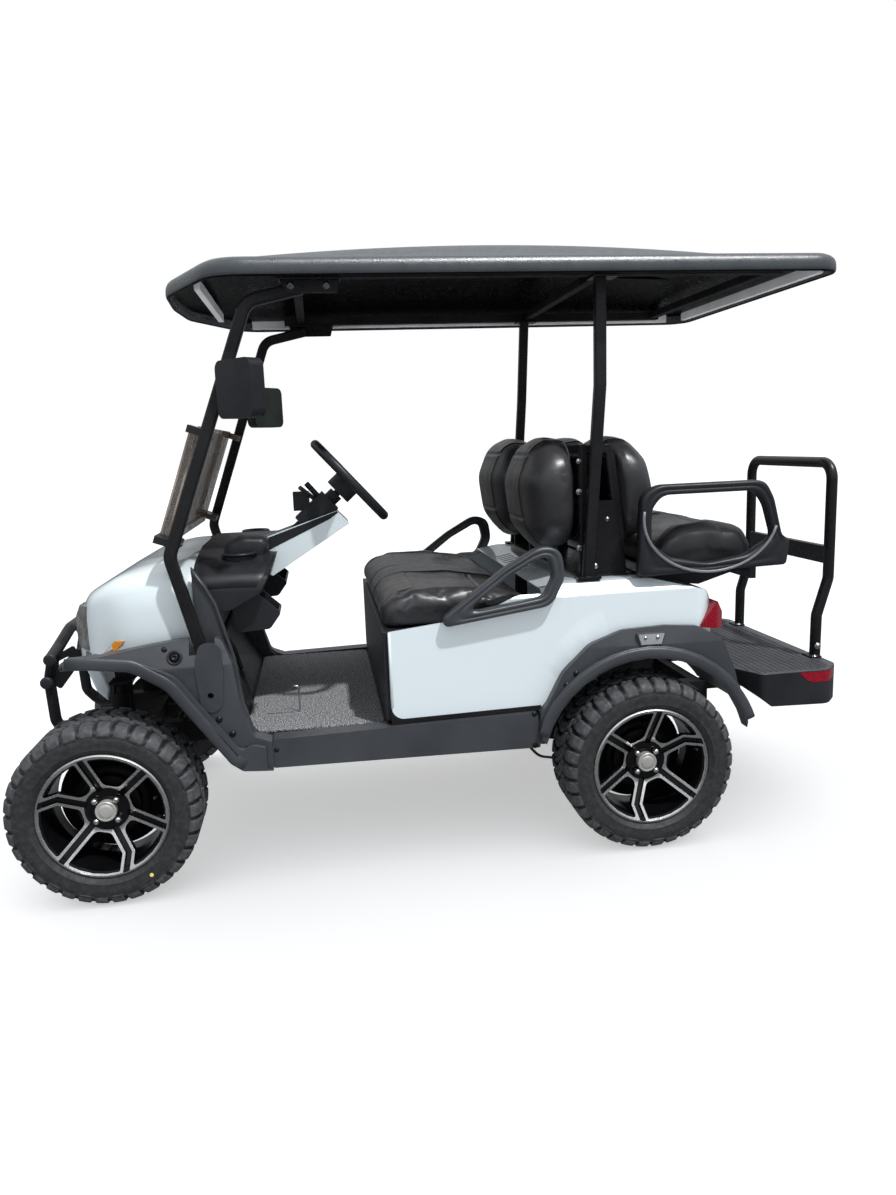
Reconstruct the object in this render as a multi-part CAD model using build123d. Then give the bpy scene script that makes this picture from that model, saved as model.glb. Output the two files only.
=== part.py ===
from build123d import *
import math
import os

os.makedirs("parts", exist_ok=True)

# All sizes in mm. Drawn with x=0 halfway between the axles, then moved so that
# the whole cart is centred. The cart faces -x, its left side is -y, ground is z=0.
WHEELBASE = 1676.0
AXLE_X = WHEELBASE / 2
# Every x below is drawn for this axle place. All that is ahead of SPLIT moves with
# the front axle and all that is behind it with the rear one when WHEELBASE changes.
AXLE = 838.0
SPLIT = -10.0
TYRE_R = 279.4
HUB_Z = TYRE_R
TYRE_Y = 537.5
TYRE_W = 225.0
RIM_LIP_R = 190.0
KING_Y = 405.0
KING_R = 8.0
SPINDLE_R = 20.0
SPINDLE_OUT = 56.0

SKIN = 5.0
RAIL_Y0, RAIL_Y1, RAIL_Z0, RAIL_Z1 = 180.0, 230.0, 355.0, 425.0
DECK_Z = 445.0
COWL_Y = 535.0
BODY_Y = 570.0
FLARE_Y = 614.0
ARCH_R = 347.0
STRUT_W, STRUT_D = 36.0, 30.0

# steering wheel
WHEEL_C = (-55.0, -280.0, 1209.0)
WHEEL_TILT = math.radians(41.5)
WHEEL_AXIS = (math.cos(WHEEL_TILT), 0.0, math.sin(WHEEL_TILT))
WHEEL_R, WHEEL_GRIP = 157.0, 15.0

# seats
FRONT_HINGE = (15.0, 757.0)
REAR_HINGE = (1240.0, 899.0)
DECK_TOP = 878.0
RACK_X, RACK_Z, RACK_R = -728.0, 325.0, 9.0


# ---------------------------------------------------------------- helpers
def spread(x):
    return x + (AXLE_X - AXLE if x > SPLIT else AXLE - AXLE_X)


def place(p):
    return Vector(spread(p[0]), p[1], p[2])


def path_edges(points, bend=0.0, closed=False):
    """Straight lines with an arc at each corner; a fourth number is that corner's radius."""
    pts = [Vector(*p[:3]) for p in points]
    rad = [p[3] if len(p) > 3 else bend for p in points]
    n = len(pts)
    corner = []
    for i in range(n):
        if rad[i] <= 0 or (not closed and i in (0, n - 1)):
            corner.append(None)
            continue
        a, b, c = pts[i - 1], pts[i], pts[(i + 1) % n]
        u, v = (a - b), (c - b)
        lu, lv = u.length, v.length
        u, v = u * (1 / lu), v * (1 / lv)
        ang = math.acos(max(-1.0, min(1.0, u.dot(v))))
        if ang > math.pi - 0.01:
            corner.append(None)
            continue
        t = min(rad[i] / math.tan(ang / 2), 0.48 * min(lu, lv))
        r = t * math.tan(ang / 2)
        half = (u + v) * (1 / (u + v).length)
        corner.append((b + u * t, b + half * (r / math.sin(ang / 2) - r), b + v * t))
    edges = []
    count = n if closed else n - 1
    for i in range(count):
        j = (i + 1) % n
        start = corner[i][2] if corner[i] else pts[i]
        end = corner[j][0] if corner[j] else pts[j]
        if (end - start).length > 1e-4:
            edges.append(Edge.make_line(start, end))
        if corner[j] and (closed or j != n - 1):
            edges.append(Edge.make_three_point_arc(*corner[j]))
    return edges


def slab(points, axis, low, high, bend=0.0):
    """A flat outline, rounded at its corners, drawn out along one axis."""
    put = {
        "y": lambda p: (spread(p[0]), low, p[1]),
        "x": lambda p: (spread(low), p[0], p[1]),
        "z": lambda p: (spread(p[0]), p[1], low),
    }[axis]
    pts = [put(p) + ((p[2],) if len(p) > 2 else ()) for p in points]
    face = Face(Wire(path_edges(pts, bend, closed=True)))
    way = {"x": (spread(high) - spread(low), 0, 0), "y": (0, high - low, 0), "z": (0, 0, high - low)}
    return Solid.extrude(face, Vector(*way[axis]))


def block(x0, x1, y0, y1, z0, z1):
    x0, x1 = spread(x0), spread(x1)
    return Pos((x0 + x1) / 2, (y0 + y1) / 2, (z0 + z1) / 2) * Box(x1 - x0, y1 - y0, z1 - z0)


def rod(a, b, r):
    a, b = place(a), place(b)
    return Solid.make_cylinder(r, (b - a).length, Plane(origin=a, z_dir=b - a))


def tube(points, bend, r=None, wide=None, deep=None):
    wire = Wire(path_edges([tuple(place(p)) + tuple(p[3:]) for p in points], bend))
    along = wire % 0
    flat = {"x_dir": Vector(0, 1, 0).cross(along).cross(along)} if wide else {}
    at = Plane(origin=wire @ 0, z_dir=along, **flat)
    section = Circle(r) if r else RectangleRounded(deep, wide, min(deep, wide) * 0.25)
    return sweep(at * section, path=wire)


def add(*pieces):
    flat = []
    for p in pieces:
        flat += list(p) if isinstance(p, (list, tuple)) else [p]
    return flat[0].fuse(*flat[1:]).clean() if len(flat) > 1 else flat[0]


def cut(base, *tools):
    return base.cut(*tools)


def common(a, *others):
    for b in others:
        a = a.intersect(b)
        if isinstance(a, (list, ShapeList)):
            a = a[0] if len(a) == 1 else Compound(a)
    return a


def other_side(s):
    return s.mirror(Plane.XZ)


def both(s):
    return [s, other_side(s)]


def inset(points, by):
    """The outline moved inwards all round (points run anticlockwise)."""
    n = len(points)
    out = []
    for i in range(n):
        a, b, c = points[i - 1], points[i], points[(i + 1) % n]
        d1, d2 = (b[0] - a[0], b[1] - a[1]), (c[0] - b[0], c[1] - b[1])
        l1, l2 = math.hypot(*d1), math.hypot(*d2)
        n1, n2 = (-d1[1] / l1, d1[0] / l1), (-d2[1] / l2, d2[0] / l2)
        m = (n1[0] + n2[0], n1[1] + n2[1])
        k = by / max(0.25, 1 + n1[0] * n2[0] + n1[1] * n2[1])
        out.append((b[0] + m[0] * k, b[1] + m[1] * k) + tuple(b[2:]))
    return out


def arc_points(cx, cz, r, a0, a1, n):
    return [(cx + r * math.cos(math.radians(a0 + (a1 - a0) * i / n)), cz + r * math.sin(math.radians(a0 + (a1 - a0) * i / n))) for i in range(n + 1)]


parts = {}


# ---------------------------------------------------------------- chassis
def chassis():
    rails = [block(-950, 1210, s * 205 - 25, s * 205 + 25, RAIL_Z0, RAIL_Z1) for s in (-1, 1)]
    across = [(-950, -920), (-800, -762), (-480, -440), (60, 100), (460, 500), (1170, 1210)]
    beams = [block(a, b, -200, 200, 365, 415) for a, b in across]
    outriggers = [block(a, b, -520, 520, 400, DECK_Z) for a, b in ((-400, -360), (-60, -20), (40, 80), (440, 480))]
    hangers = [block(a, b, s * 280 - 55, s * 280 + 55, 395, 425) for a, b in ((540, 580), (1095, 1135)) for s in (-1, 1)]
    towers = []
    for s in (-1, 1):
        towers.append(block(-868, -808, s * 222 - 6, s * 222 + 6, 420, 590))
        towers.append(block(-868, -808, s * 252 - 36, s * 252 + 36, 582, 590))
        towers.append(block(-930, -746, s * 241 - 13, s * 241 + 13, 245, 390))
        towers.append(cut(block(-860, -816, s * 215 - 15, s * 215 + 15, 590, 700), block(-900, -780, s * 215 - 9, s * 215 + 9, 596, 690)))
    arms = [block(1200, 1520, s * 205 - 20, s * 205 + 20, 392, 452) for s in (-1, 1)]
    hitch = [block(1480, 1520, -205, 205, 392, 452)]
    tray = [block(95, 455, -350, 350, 416, 426)]
    rack_hangers = [block(-790, -722, s * 84 - 8, s * 84 + 8, 346.2, 400) for s in (-1, 1)]
    seat_posts = [block(600, 640, s * 205 - 20, s * 205 + 20, 420, DECK_TOP - SKIN) for s in (-1, 1)]
    whole = add(rails, beams, outriggers, hangers, towers, arms, hitch, tray, rack_hangers, seat_posts)
    pivots = [rod((-AXLE - 92, s * 262, z), (-AXLE + 92, s * 262, z), 13) for s in (-1, 1) for z in (262, 372)]
    return cut(whole, *pivots)


parts["chassis_frame"] = [chassis()]
parts["battery_pack"] = [block(110, 440, -330, 330, 426, 690)]


def front_suspension():
    """Wishbones and coil-over shocks, one set a side."""
    out = []
    for s in (-1, 1):
        low_ball, top_ball = (-AXLE, s * KING_Y, 217), (-AXLE, s * KING_Y, 337)
        bits = [rod((-AXLE, s * KING_Y, 206), (-AXLE, s * KING_Y, 236), 19)]
        for d in (-80, 80):
            bits.append(rod((-AXLE + d, s * 262, 262), (low_ball[0] + d * 0.12, low_ball[1] - s * 8, low_ball[2]), 11))
        bits.append(rod((-AXLE - 92, s * 262, 262), (-AXLE + 92, s * 262, 262), 13))
        bits.append(block(-AXLE - 42, -AXLE + 42, s * 330 - 14, s * 330 + 14, 234, 250))
        bits.append(rod((-AXLE, s * 330, 248), (-AXLE, s * 262, 570), 13))
        bits.append(rod((-AXLE, s * 262, 555), (-AXLE, s * 262, 582), 9))
        bits.append(rod((-AXLE, s * 318, 304), (-AXLE, s * 268, 550), 29))
        bottom = cut(add(bits), rod((-AXLE, s * KING_Y, 200), (-AXLE, s * KING_Y, 240), KING_R + 0.08))
        bits = [rod((-AXLE, s * KING_Y, 326), (-AXLE, s * KING_Y, 347), 19)]
        for d in (-80, 80):
            bits.append(rod((-AXLE + d, s * 262, 372), (top_ball[0] + d * 0.12, top_ball[1] - s * 8, top_ball[2]), 11))
        bits.append(rod((-AXLE - 92, s * 262, 372), (-AXLE + 92, s * 262, 372), 13))
        top = cut(add(bits), rod((-AXLE, s * KING_Y, 320), (-AXLE, s * KING_Y, 350), KING_R + 0.08))
        out += [bottom, top]
    return out


parts["front_suspension"] = front_suspension()


def rear_axle():
    tube_ = rod((AXLE, -470, HUB_Z), (AXLE, 470, HUB_Z), 36)
    drums = [rod((AXLE, s * 462, HUB_Z), (AXLE, s * 552, HUB_Z), 96) for s in (-1, 1)]
    stubs = [rod((AXLE, s * 540, HUB_Z), (AXLE, s * (TYRE_Y + SPINDLE_OUT), HUB_Z), SPINDLE_R) for s in (-1, 1)]
    case = rod((AXLE, -70, HUB_Z), (AXLE, 70, HUB_Z), 88)
    motor = rod((690, -40, 262), (690, 250, 262), 82)
    link = block(690, AXLE, -60, 60, 222, 322)
    seats = [block(AXLE - 45, AXLE + 45, s * 300 - 26, s * 300 + 26, 300, 319) for s in (-1, 1)]
    axle = add(tube_, drums, stubs, case, motor, link, seats)
    springs = []
    for s in (-1, 1):
        leaf = [(548, 380), (700, 340), (790, 319, 60), (886, 319, 60), (980, 340), (1127, 380), (1122, 390), (975, 352), (880, 341, 60), (795, 341, 60), (705, 352), (552, 390)]
        springs.append(add([block(x - 9, x + 9, s * 300 - 22, s * 300 + 22, 384, 395) for x in (558, 1117)], slab(leaf, "y", s * 300 - 22, s * 300 + 22), rod((558, s * 300 - 22, 380), (558, s * 300 + 22, 380), 14), rod((1117, s * 300 - 22, 380), (1117, s * 300 + 22, 380), 14)))
    return [axle] + springs


parts["rear_axle"] = rear_axle()


# ---------------------------------------------------------------- steering
SHAFT_TOP, SHAFT_LOW = (-392.0, -280.0, 912.0), (-704.0, -132.0, 366.0)


def along_column(s):
    return tuple(WHEEL_C[i] + WHEEL_AXIS[i] * s for i in range(3))


def cover_floor(x):
    return 904.4 + (x + 347) * 189.6 / 306


def steering_column():
    upper = add(rod(along_column(-62), along_column(-445), 24), rod(along_column(-70), along_column(-22), 12))
    pod = Plane(origin=place(along_column(-150)), z_dir=Vector(*WHEEL_AXIS), x_dir=Vector(0, 1, 0)) * Box(86, 74, 120)
    stalk = rod(along_column(-120), (along_column(-120)[0] - 70, -365, along_column(-120)[2] + 66), 7)
    lever = add(rod((-150, -300, 1150), (-196, -300, 1206), 9), block(-240, -188, -322, -278, 1120, 1180))
    shaft = rod(SHAFT_TOP, SHAFT_LOW, 10)
    joint = Pos(*place(SHAFT_TOP)) * Sphere(26)
    gear = add(rod((RACK_X, -120, RACK_Z), (RACK_X, 120, RACK_Z), 21), block(RACK_X - 14, RACK_X + 38, -165, -104, RACK_Z - 21, RACK_Z + 44))
    gear = cut(gear, rod((RACK_X, -200, RACK_Z), (RACK_X, 200, RACK_Z), RACK_R + 0.08))
    pads = [block(RACK_X - 10, RACK_X + 10, s * 84 - 8, s * 84 + 8, RACK_Z + 12, 346.2) for s in (-1, 1)]
    hanger = slab([(-235, cover_floor(-235)), (-205, cover_floor(-205)), (-205, 1050), (-235, 1025)], "y", -290, -270)
    bar = rod((-500, -511, 890), (-500, 511, 890), 12)
    stay = block(-500, -395, -292, -268, 882, 900)
    return add(upper, pod, stalk, lever, shaft, joint, gear, pads, hanger, bar, stay)


parts["steering_column"] = [steering_column()]
COVER = [(-441, 1007), (-319, 916), (-64, 1074), (-103, 1116)]
parts["column_cover"] = [cut(
    slab(COVER, "y", -330, -230, 6),
    slab([(-347, 904.4), (-41, 1094), (-80, 1160), (-480, 1040)], "y", -325, -235),
)]


def steering_wheel():
    plane = Plane(origin=place(WHEEL_C), z_dir=Vector(*WHEEL_AXIS), x_dir=Vector(0, 1, 0))
    rim = plane * Torus(WHEEL_R, WHEEL_GRIP)
    hub = plane * Pos(0, 0, -28) * Cylinder(46, 56)
    spokes = [plane * Rot(0, 0, a) * Pos(WHEEL_R / 2 + 12, 0, -6) * Box(WHEEL_R - 24, 34, 14) for a in (20, 160, 270)]
    return cut(add(rim, hub, spokes), rod(along_column(-60), along_column(-21), 12.08))


parts["steering_wheel"] = [steering_wheel()]


def steering_rack():
    bar = rod((RACK_X, -KING_Y + 20, RACK_Z), (RACK_X, KING_Y - 20, RACK_Z), RACK_R)
    eyes = [rod((RACK_X, s * (KING_Y - 20), RACK_Z - 11), (RACK_X, s * (KING_Y - 20), RACK_Z + 11), 16) for s in (-1, 1)]
    return add(bar, eyes)


parts["steering_rack"] = [steering_rack()]


def knuckle(s):
    upright = block(-AXLE - 24, -AXLE + 24, s * KING_Y - 24, s * KING_Y + 24, 237, 325)
    pin = rod((-AXLE, s * KING_Y, 208), (-AXLE, s * KING_Y, 346), KING_R)
    spindle = rod((-AXLE, s * KING_Y, HUB_Z), (-AXLE, s * (TYRE_Y + SPINDLE_OUT), HUB_Z), SPINDLE_R)
    shield = rod((-AXLE, s * 462, HUB_Z), (-AXLE, s * 552, HUB_Z), 92)
    arm = slab([(-AXLE + 10, s * KING_Y - 20), (RACK_X, s * (KING_Y - 20) - 16, 14), (RACK_X + 15, s * (KING_Y - 20), 14), (RACK_X, s * (KING_Y - 20) + 16, 14), (-AXLE + 10, s * KING_Y + 20)], "z", 292, 312)
    return add(upright, pin, spindle, shield, arm)


parts["knuckle_left"] = [knuckle(-1)]
parts["knuckle_right"] = [knuckle(1)]


# ---------------------------------------------------------------- wheels
LUGS = 20
ROOT_R, LUG_IN = 268.0, 40.0
SHOULDER = 24.0
BEAD_R, BITER_R = 214.0, 236.0


def toothed(root, top, z, first):
    """A regular outline with every second side raised into a lug; first is the side that starts."""
    spots = []
    for i in range(2 * LUGS):
        radii = (top, top) if i % 2 == first else (root, root)
        for j, r in enumerate(radii):
            a = math.pi * (i + j) / LUGS
            spots.append(Vector(r * math.cos(a), r * math.sin(a), z))
    spots = [p for i, p in enumerate(spots) if (p - spots[i - 1]).length > 0.01]
    return Wire([Edge.make_line(p, spots[(i + 1) % len(spots)]) for i, p in enumerate(spots)])


def tyre(x, s):
    """A faceted carcass with a row of lugs round each shoulder, staggered left and right."""
    half = TYRE_W / 2
    whole = Solid.make_loft([toothed(ROOT_R, ROOT_R, -LUG_IN, 0), toothed(ROOT_R, ROOT_R, LUG_IN, 0)], True)
    rows = []
    for side, first in ((-1, 0), (1, 1)):
        inner = toothed(ROOT_R, TYRE_R, side * LUG_IN, first)
        edge = toothed(ROOT_R, TYRE_R, side * (half - SHOULDER), first)
        wall = toothed(BEAD_R, BITER_R, side * half, first)
        pairs = [(inner, edge), (edge, wall)] if side > 0 else [(edge, inner), (wall, edge)]
        rows += [Solid.make_loft(list(pair), True) for pair in pairs]
    whole = whole.fuse(*rows).clean()
    bore = Solid.make_cylinder(RIM_LIP_R, TYRE_W + 20, Plane(origin=(0, 0, -half - 10)))
    whole = whole.cut(bore)
    return Pos(x, s * TYRE_Y, HUB_Z) * Rot(90, 0, 0) * whole


RIM_IN, RIM_OUT = -97.0, 103.5
SPOKES = 6
SPOKE_TURN = 360 / SPOKES
FACE_IN, FACE_OUT = (66.0, 40.0), (183.0, 102.5)
KINK_R, KINK_SWAY = 138.0, 9.5
RIDGE_HALF, CHANNEL_HALF, CHANNEL_DEEP = 18.0, 9.5, 8.0
WINDOW_IN, WINDOW_OUT = 76.0, 178.0
CAP_R, CAP_OUT = 30.0, 62.0


def spoke_line(k):
    """A spoke's middle line from hub to lip; the two beside the first have a kink."""
    a = k * SPOKE_TURN
    sway = {1: KINK_SWAY, SPOKES - 1: -KINK_SWAY}.get(k % SPOKES, 0.0)
    spots = [(FACE_IN[0] - 8, a), (KINK_R, a + sway), (FACE_OUT[0] + 6, a)]
    return [Vector(r * math.cos(math.radians(t)), r * math.sin(math.radians(t))) for r, t in spots]


def beside(line, by):
    """The line moved sideways; where it bends, the corner is mitred."""
    ways = [(line[i + 1] - line[i]).normalized() for i in range(len(line) - 1)]
    sides = [Vector(-w.Y, w.X) for w in ways]
    mitre = (sides[0] + sides[1]) * (1 / (1 + sides[0].dot(sides[1])))
    return [line[0] + sides[0] * by, line[1] + mitre * by, line[2] + sides[1] * by]


def on_radius(a, b, r):
    """Where the run from a to b crosses a radius."""
    run = b - a
    half, square, rest = a.dot(run), run.dot(run), a.dot(a) - r * r
    t = (-half + math.sqrt(half * half - square * rest)) / square
    return a + run * t


def window(k):
    """The opening between two spokes, rounded at its inner end."""
    one, two = beside(spoke_line(k), RIDGE_HALF), beside(spoke_line(k + 1), -RIDGE_HALF)
    first = [on_radius(one[0], one[1], WINDOW_IN), one[1], on_radius(one[1], one[2], WINDOW_OUT)]
    last = [on_radius(two[1], two[2], WINDOW_OUT), two[1], on_radius(two[0], two[1], WINDOW_IN)]
    start, end = (math.atan2(p.Y, p.X) for p in (first[-1], last[0]))
    sweep_ = (end - start) % (2 * math.pi)
    rim_ = [Vector(WINDOW_OUT * math.cos(start + sweep_ * t), WINDOW_OUT * math.sin(start + sweep_ * t)) for t in (0.25, 0.5, 0.75)]
    bends = [22, 3, 6, 0, 0, 0, 6, 3, 22]
    return [(p.X, p.Y, r) for p, r in zip(first + rim_ + last, bends)]


def channel(k):
    line = spoke_line(k)
    one, two = beside(line, CHANNEL_HALF), beside(line, -CHANNEL_HALF)
    return [(p.X, p.Y) for p in one + two[::-1]]


def plate(points, low, high):
    """A flat outline on the wheel's own face, drawn out along the axle."""
    spots = [(p[0], p[1], low) + ((p[2],) if len(p) > 2 else ()) for p in points]
    return Solid.extrude(Face(Wire(path_edges(spots, closed=True))), Vector(0, 0, high - low))


def spun(points):
    """An outline of (radius, outward) turned round the axle."""
    return Solid.revolve(Face(Wire(path_edges([(r, 0, w) for r, w in points], closed=True))), 360, Axis.Z)


def rim(x, s, turn):
    """A deep dish: barrel, hub and six channelled spokes between open windows; turn is where the first points."""
    barrel = spun([(186, RIM_OUT), (190, RIM_OUT - 3), (190, 94), (180, 88), (180, -88), (190, -94), (190, RIM_IN - 3), (184, RIM_IN - 3), (172, -86), (168, 60), (172, RIM_OUT - 9), (181, RIM_OUT - 5), (182.5, RIM_OUT)])
    (r0, w0), (r1, w1) = FACE_IN, FACE_OUT
    dish = spun([(SPINDLE_R - 6, w0 - 16), (r0, w0 - 16), (r1, w1 - 24), (r1, w1), (r0, w0), (SPINDLE_R - 6, w0)])
    cap = Solid.make_cylinder(CAP_R, CAP_OUT - w0 + 16, Plane(origin=(0, 0, w0 - 16)))
    openings = [plate(window(k), w0 - 40, w1 + 20) for k in range(SPOKES)]
    groove = spun([(r0 - 12, w0 - CHANNEL_DEEP), (r0, w0 - CHANNEL_DEEP), (r1, w1 - CHANNEL_DEEP), (r1, w1 + 10), (r0 - 12, w1 + 10)])
    channels = [common(plate(channel(k), w0 - 30, w1 + 20), groove) for k in range(SPOKES)]
    wheel = add(cut(dish, *openings, *channels), barrel, cap)
    wheel = cut(wheel, Solid.make_cylinder(SPINDLE_R + 0.08, SPINDLE_OUT + 0.5, Plane(origin=(0, 0, 0))))
    side = Rot(90, 0, 0) if s < 0 else Rot(-90, 0, 0)
    return Pos(x, s * TYRE_Y, HUB_Z) * side * Rot(0, 0, turn) * wheel


# name, axle, side, where the rim's first spoke points
WHEELS = [
    ("front_left", -AXLE_X, -1, 225),
    ("front_right", -AXLE_X, 1, 70),
    ("rear_left", AXLE_X, -1, 322),
    ("rear_right", AXLE_X, 1, 170),
]
for name, x, s, turn in WHEELS:
    parts["tyre_" + name] = [tyre(x, s)]
    parts["rim_" + name] = [rim(x, s, turn)]


# ---------------------------------------------------------------- floor and nose
def floor_pan():
    flat = block(-440, 60, -516, 516, DECK_Z, DECK_Z + 6)
    toe = [(-440, DECK_Z), (-432, DECK_Z + 6), (-540, 648), (-540, 830), (-546, 830), (-546, 645)]
    pan = add(flat, slab(toe, "y", -516, 516))
    return cut(pan, rod(SHAFT_TOP, SHAFT_LOW, 24))


parts["floor_pan"] = [floor_pan()]
parts["floor_mat"] = [slab([(-425, -505), (4, -505), (4, 505), (-425, 505)], "z", DECK_Z + 6, DECK_Z + 13, 20)]


SILL_END = 488.0


def sill_top(x):
    return 455 + (x + 342) * 19 / 820


def sills():
    outer = [(-342, 366), (SILL_END, 358), (SILL_END, 440), (SILL_END - 10, sill_top(SILL_END - 10)), (-342, sill_top(-342))]
    one = slab(outer, "y", -590, -525, 6)
    hollow = slab([(-360, 340), (500, 340), (500, 436), (474, 462), (-360, 444)], "y", -584, -500)
    lip = block(-342, 5, -535, -516, 446, 451)
    return both(add(cut(one, hollow), lip))


parts["sills"] = sills()

FLARE_FRONT = [(-915, 712), (-830, 712, 60), (-726, 700, 70), (-634, 640, 90), (-545, 512, 80), (-465, 398, 30), (-430, 372, 20), (-342, 366), (-342, 452), (-398, 474, 30), (-424, 560, 60), (-440, 700, 60), (-470, 775, 25), (-594, 775, 30), (-676, 765, 40), (-822, 742, 40), (-915, 738, 10)]

COWL_SIDE = [(-952, 660), (-546, 660), (-546, 1008), (-640, 1000, 60), (-770, 958, 150), (-890, 895, 90), (-948, 800, 80), (-962, 720, 60)]
COWL_PLAN = [(-970, -190, 120), (-935, -330, 120), (-862, -440, 120), (-740, -520, 150), (-620, -COWL_Y, 100), (-540, -COWL_Y), (-540, COWL_Y), (-620, COWL_Y, 100), (-740, 520, 150), (-862, 440, 120), (-935, 330, 120), (-970, 190, 120)]
COWL_FRONT = [(-COWL_Y, 600), (COWL_Y, 600), (COWL_Y, 790), (528, 880, 60), (492, 958, 60), (400, 993, 90), (180, 1008, 200), (-180, 1008, 200), (-400, 993, 90), (-492, 958, 60), (-528, 880, 60), (-COWL_Y, 790)]


def cowl_solid(by, x_back=-545):
    side = inset(COWL_SIDE, by) if by else COWL_SIDE
    plan = inset(COWL_PLAN, by) if by else COWL_PLAN
    front = inset(COWL_FRONT, by) if by else COWL_FRONT
    return common(slab(side, "y", -700, 700), slab(plan, "z", 500, 1100), slab(front, "x", -1100, -400))


cowl_out, cowl_in = cowl_solid(0), cowl_solid(SKIN)
cowl_in = add(cowl_in, common(Pos(8, 0, 0) * cowl_in, block(-900, -500, -700, 700, 640, 1100)), common(Pos(0, 0, -8) * cowl_in, block(-1100, -500, -700, 700, 600, 700)))
cowl_shell = cut(cowl_out, cowl_in)
LAMP = block(-1000, -800, -412, -318, 726, 866)
MARKER = slab([(-838, 722), (-800, 722), (-756, 772), (-790, 768)], "y", -560, -420)
lamp_tools = [LAMP, other_side(LAMP), MARKER, other_side(MARKER)]
front_cowl = cut(cowl_shell, *lamp_tools)
# below the nose a body-coloured panel closes the front between the guard's legs
nose_low = cut(
    slab([(-951, 672), (-905, 672), (-870, 560), (-880, 520), (-915, 560)], "y", -262, 262),
    slab([(-945, 690), (-890, 690), (-862, 560), (-872, 510), (-908, 562)], "y", -256, 256),
)
under = [(p[0] + 3, p[1] + 11) for p in FLARE_FRONT[0:6]]
arch_tool = slab([(under[0][0] - 60, 500), (under[-1][0], 500)] + under[::-1] + [(under[0][0] - 60, under[0][1])], "y", -600, -300)
front_cowl = cut(front_cowl, arch_tool, other_side(arch_tool), rod(SHAFT_TOP, SHAFT_LOW, 24))
parts["front_cowl"] = [add(front_cowl, nose_low)]
parts["front_lamps"] = [common(cowl_shell, t) for t in lamp_tools]



WALL_Y = FLARE_Y - 14
LIP_BAND = 52.0
OVAL = [(-535, 560, 30), (-478, 560, 30), (-466, 690, 40), (-472, 768, 28), (-532, 768, 28), (-548, 690, 40)]
DRAIN = (-508.0, 610.0, 9.0)


def front_flare():
    """A hollow guard: its wall leans in at the top, and a raised band follows the arch."""
    edge = [(-WALL_Y, 300), (-COWL_Y, 300), (-COWL_Y, 776), (-566, 776), (-WALL_Y, 700)]
    whole = common(slab(FLARE_FRONT, "y", -640, -500), slab(edge, "x", -1100, -300))
    inner = [(-WALL_Y + SKIN, 300), (-520, 300), (-520, 771), (-562, 771), (-WALL_Y + SKIN, 698)]
    core = common(slab(inset(FLARE_FRONT, SKIN), "y", -640, -500), slab(inner, "x", -1100, -300))
    shell = cut(whole, core)
    lip = FLARE_FRONT[1:8]
    lean = [(p[0] + LIP_BAND * 0.62, p[1] + LIP_BAND * 0.72) + tuple(p[2:]) for p in lip[1:5]]
    top = [(lip[0][0], lip[0][1] + 24), (-726, 736, 60)] + lean[1:] + [(-396, 452, 30), (-360, 442)]
    raised = slab(lip + [(-360, 370)] + top[::-1], "y", -FLARE_Y, -WALL_Y + 1)
    under = [(a[0] + 4, a[1] + 5) for a in FLARE_FRONT[1:6]]
    band = slab([p[:2] for p in FLARE_FRONT[1:6]] + under[::-1], "y", -540, -302)
    band = common(band, block(-900, -474, -700, 0, 300, 800))
    oval = slab(OVAL, "y", -WALL_Y - 4, -WALL_Y + 2)
    slot = block(-562, -488, -586, -COWL_Y, 690, 800)
    drain = rod((DRAIN[0], -650, DRAIN[1]), (DRAIN[0], -WALL_Y + SKIN + 1, DRAIN[1]), DRAIN[2])
    return cut(add(shell, raised, band, oval), slot, drain)


parts["front_flares"] = both(front_flare())

KICK = [(-540, 648), (-438, 452), (-372, 452), (-398, 478, 30), (-420, 560, 60), (-436, 700, 60), (-478, 870, 40), (-505, 925, 20), (-544, 985), (-544, 700)]
parts["kick_panels"] = both(slab(KICK, "y", -COWL_Y, -516))


def brush_guard():
    legs = [tube([(-945, s * 200, 398), (-1030, s * 200, 405), (-1068, s * 200, 450), (-1074, s * 200, 591), (-1056, s * 200, 668)], 45, r=18) for s in (-1, 1)]
    top = tube([(-1056, -232, 667), (-1050, -150, 690), (-1030, -60, 738), (-1030, 60, 738), (-1050, 150, 690), (-1056, 232, 667)], 50, r=19)
    low = rod((-1074, -232, 591), (-1074, 232, 591), 19)
    plates = []
    for s in (-1, 1):
        plate = slab([(-1070, 585), (-1052, 672), (-984, 706), (-976, 640), (-1040, 560)], "y", s * 200 - 4, s * 200 + 4, 8)
        plates.append(cut(plate, slab([(-1045, 612), (-1038, 655), (-1000, 672), (-998, 640)], "y", s * 200 - 9, s * 200 + 9, 8)))
    tie = block(-984, -966, -204, 204, 640, 690)
    feet = [block(-956, -945 + 0, s * 200 - 24, s * 200 + 24, 372, 424) for s in (-1, 1)]
    return add(legs, top, low, plates, tie, feet)


GUARD_BACK = -950.0
parts["brush_guard"] = [cut(brush_guard(), block(GUARD_BACK, -900, -400, 400, 300, 480))]


# ---------------------------------------------------------------- dash
DASH_SIDE = [(-546, 835), (-440, 846), (-352, 893, 20), (-330, 930, 20), (-297, 1000, 14), (-306, 1024, 10), (-430, 1022, 40), (-546, 1012)]
DASH_FRONT = [(-516, 700), (516, 700), (516, 905), (500, 940, 30), (455, 968, 40), (380, 990, 60), (200, 1014, 90), (90, 1024, 90), (-90, 1024, 90), (-200, 1014, 90), (-380, 990, 60), (-455, 968, 40), (-500, 940, 30), (-516, 905)]
CUP_X, CUP_Y, CUP_R, CUP_FLOOR, CUP_TOP = -413.0, 385.0, 42.0, 912.0, 994.0


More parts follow.
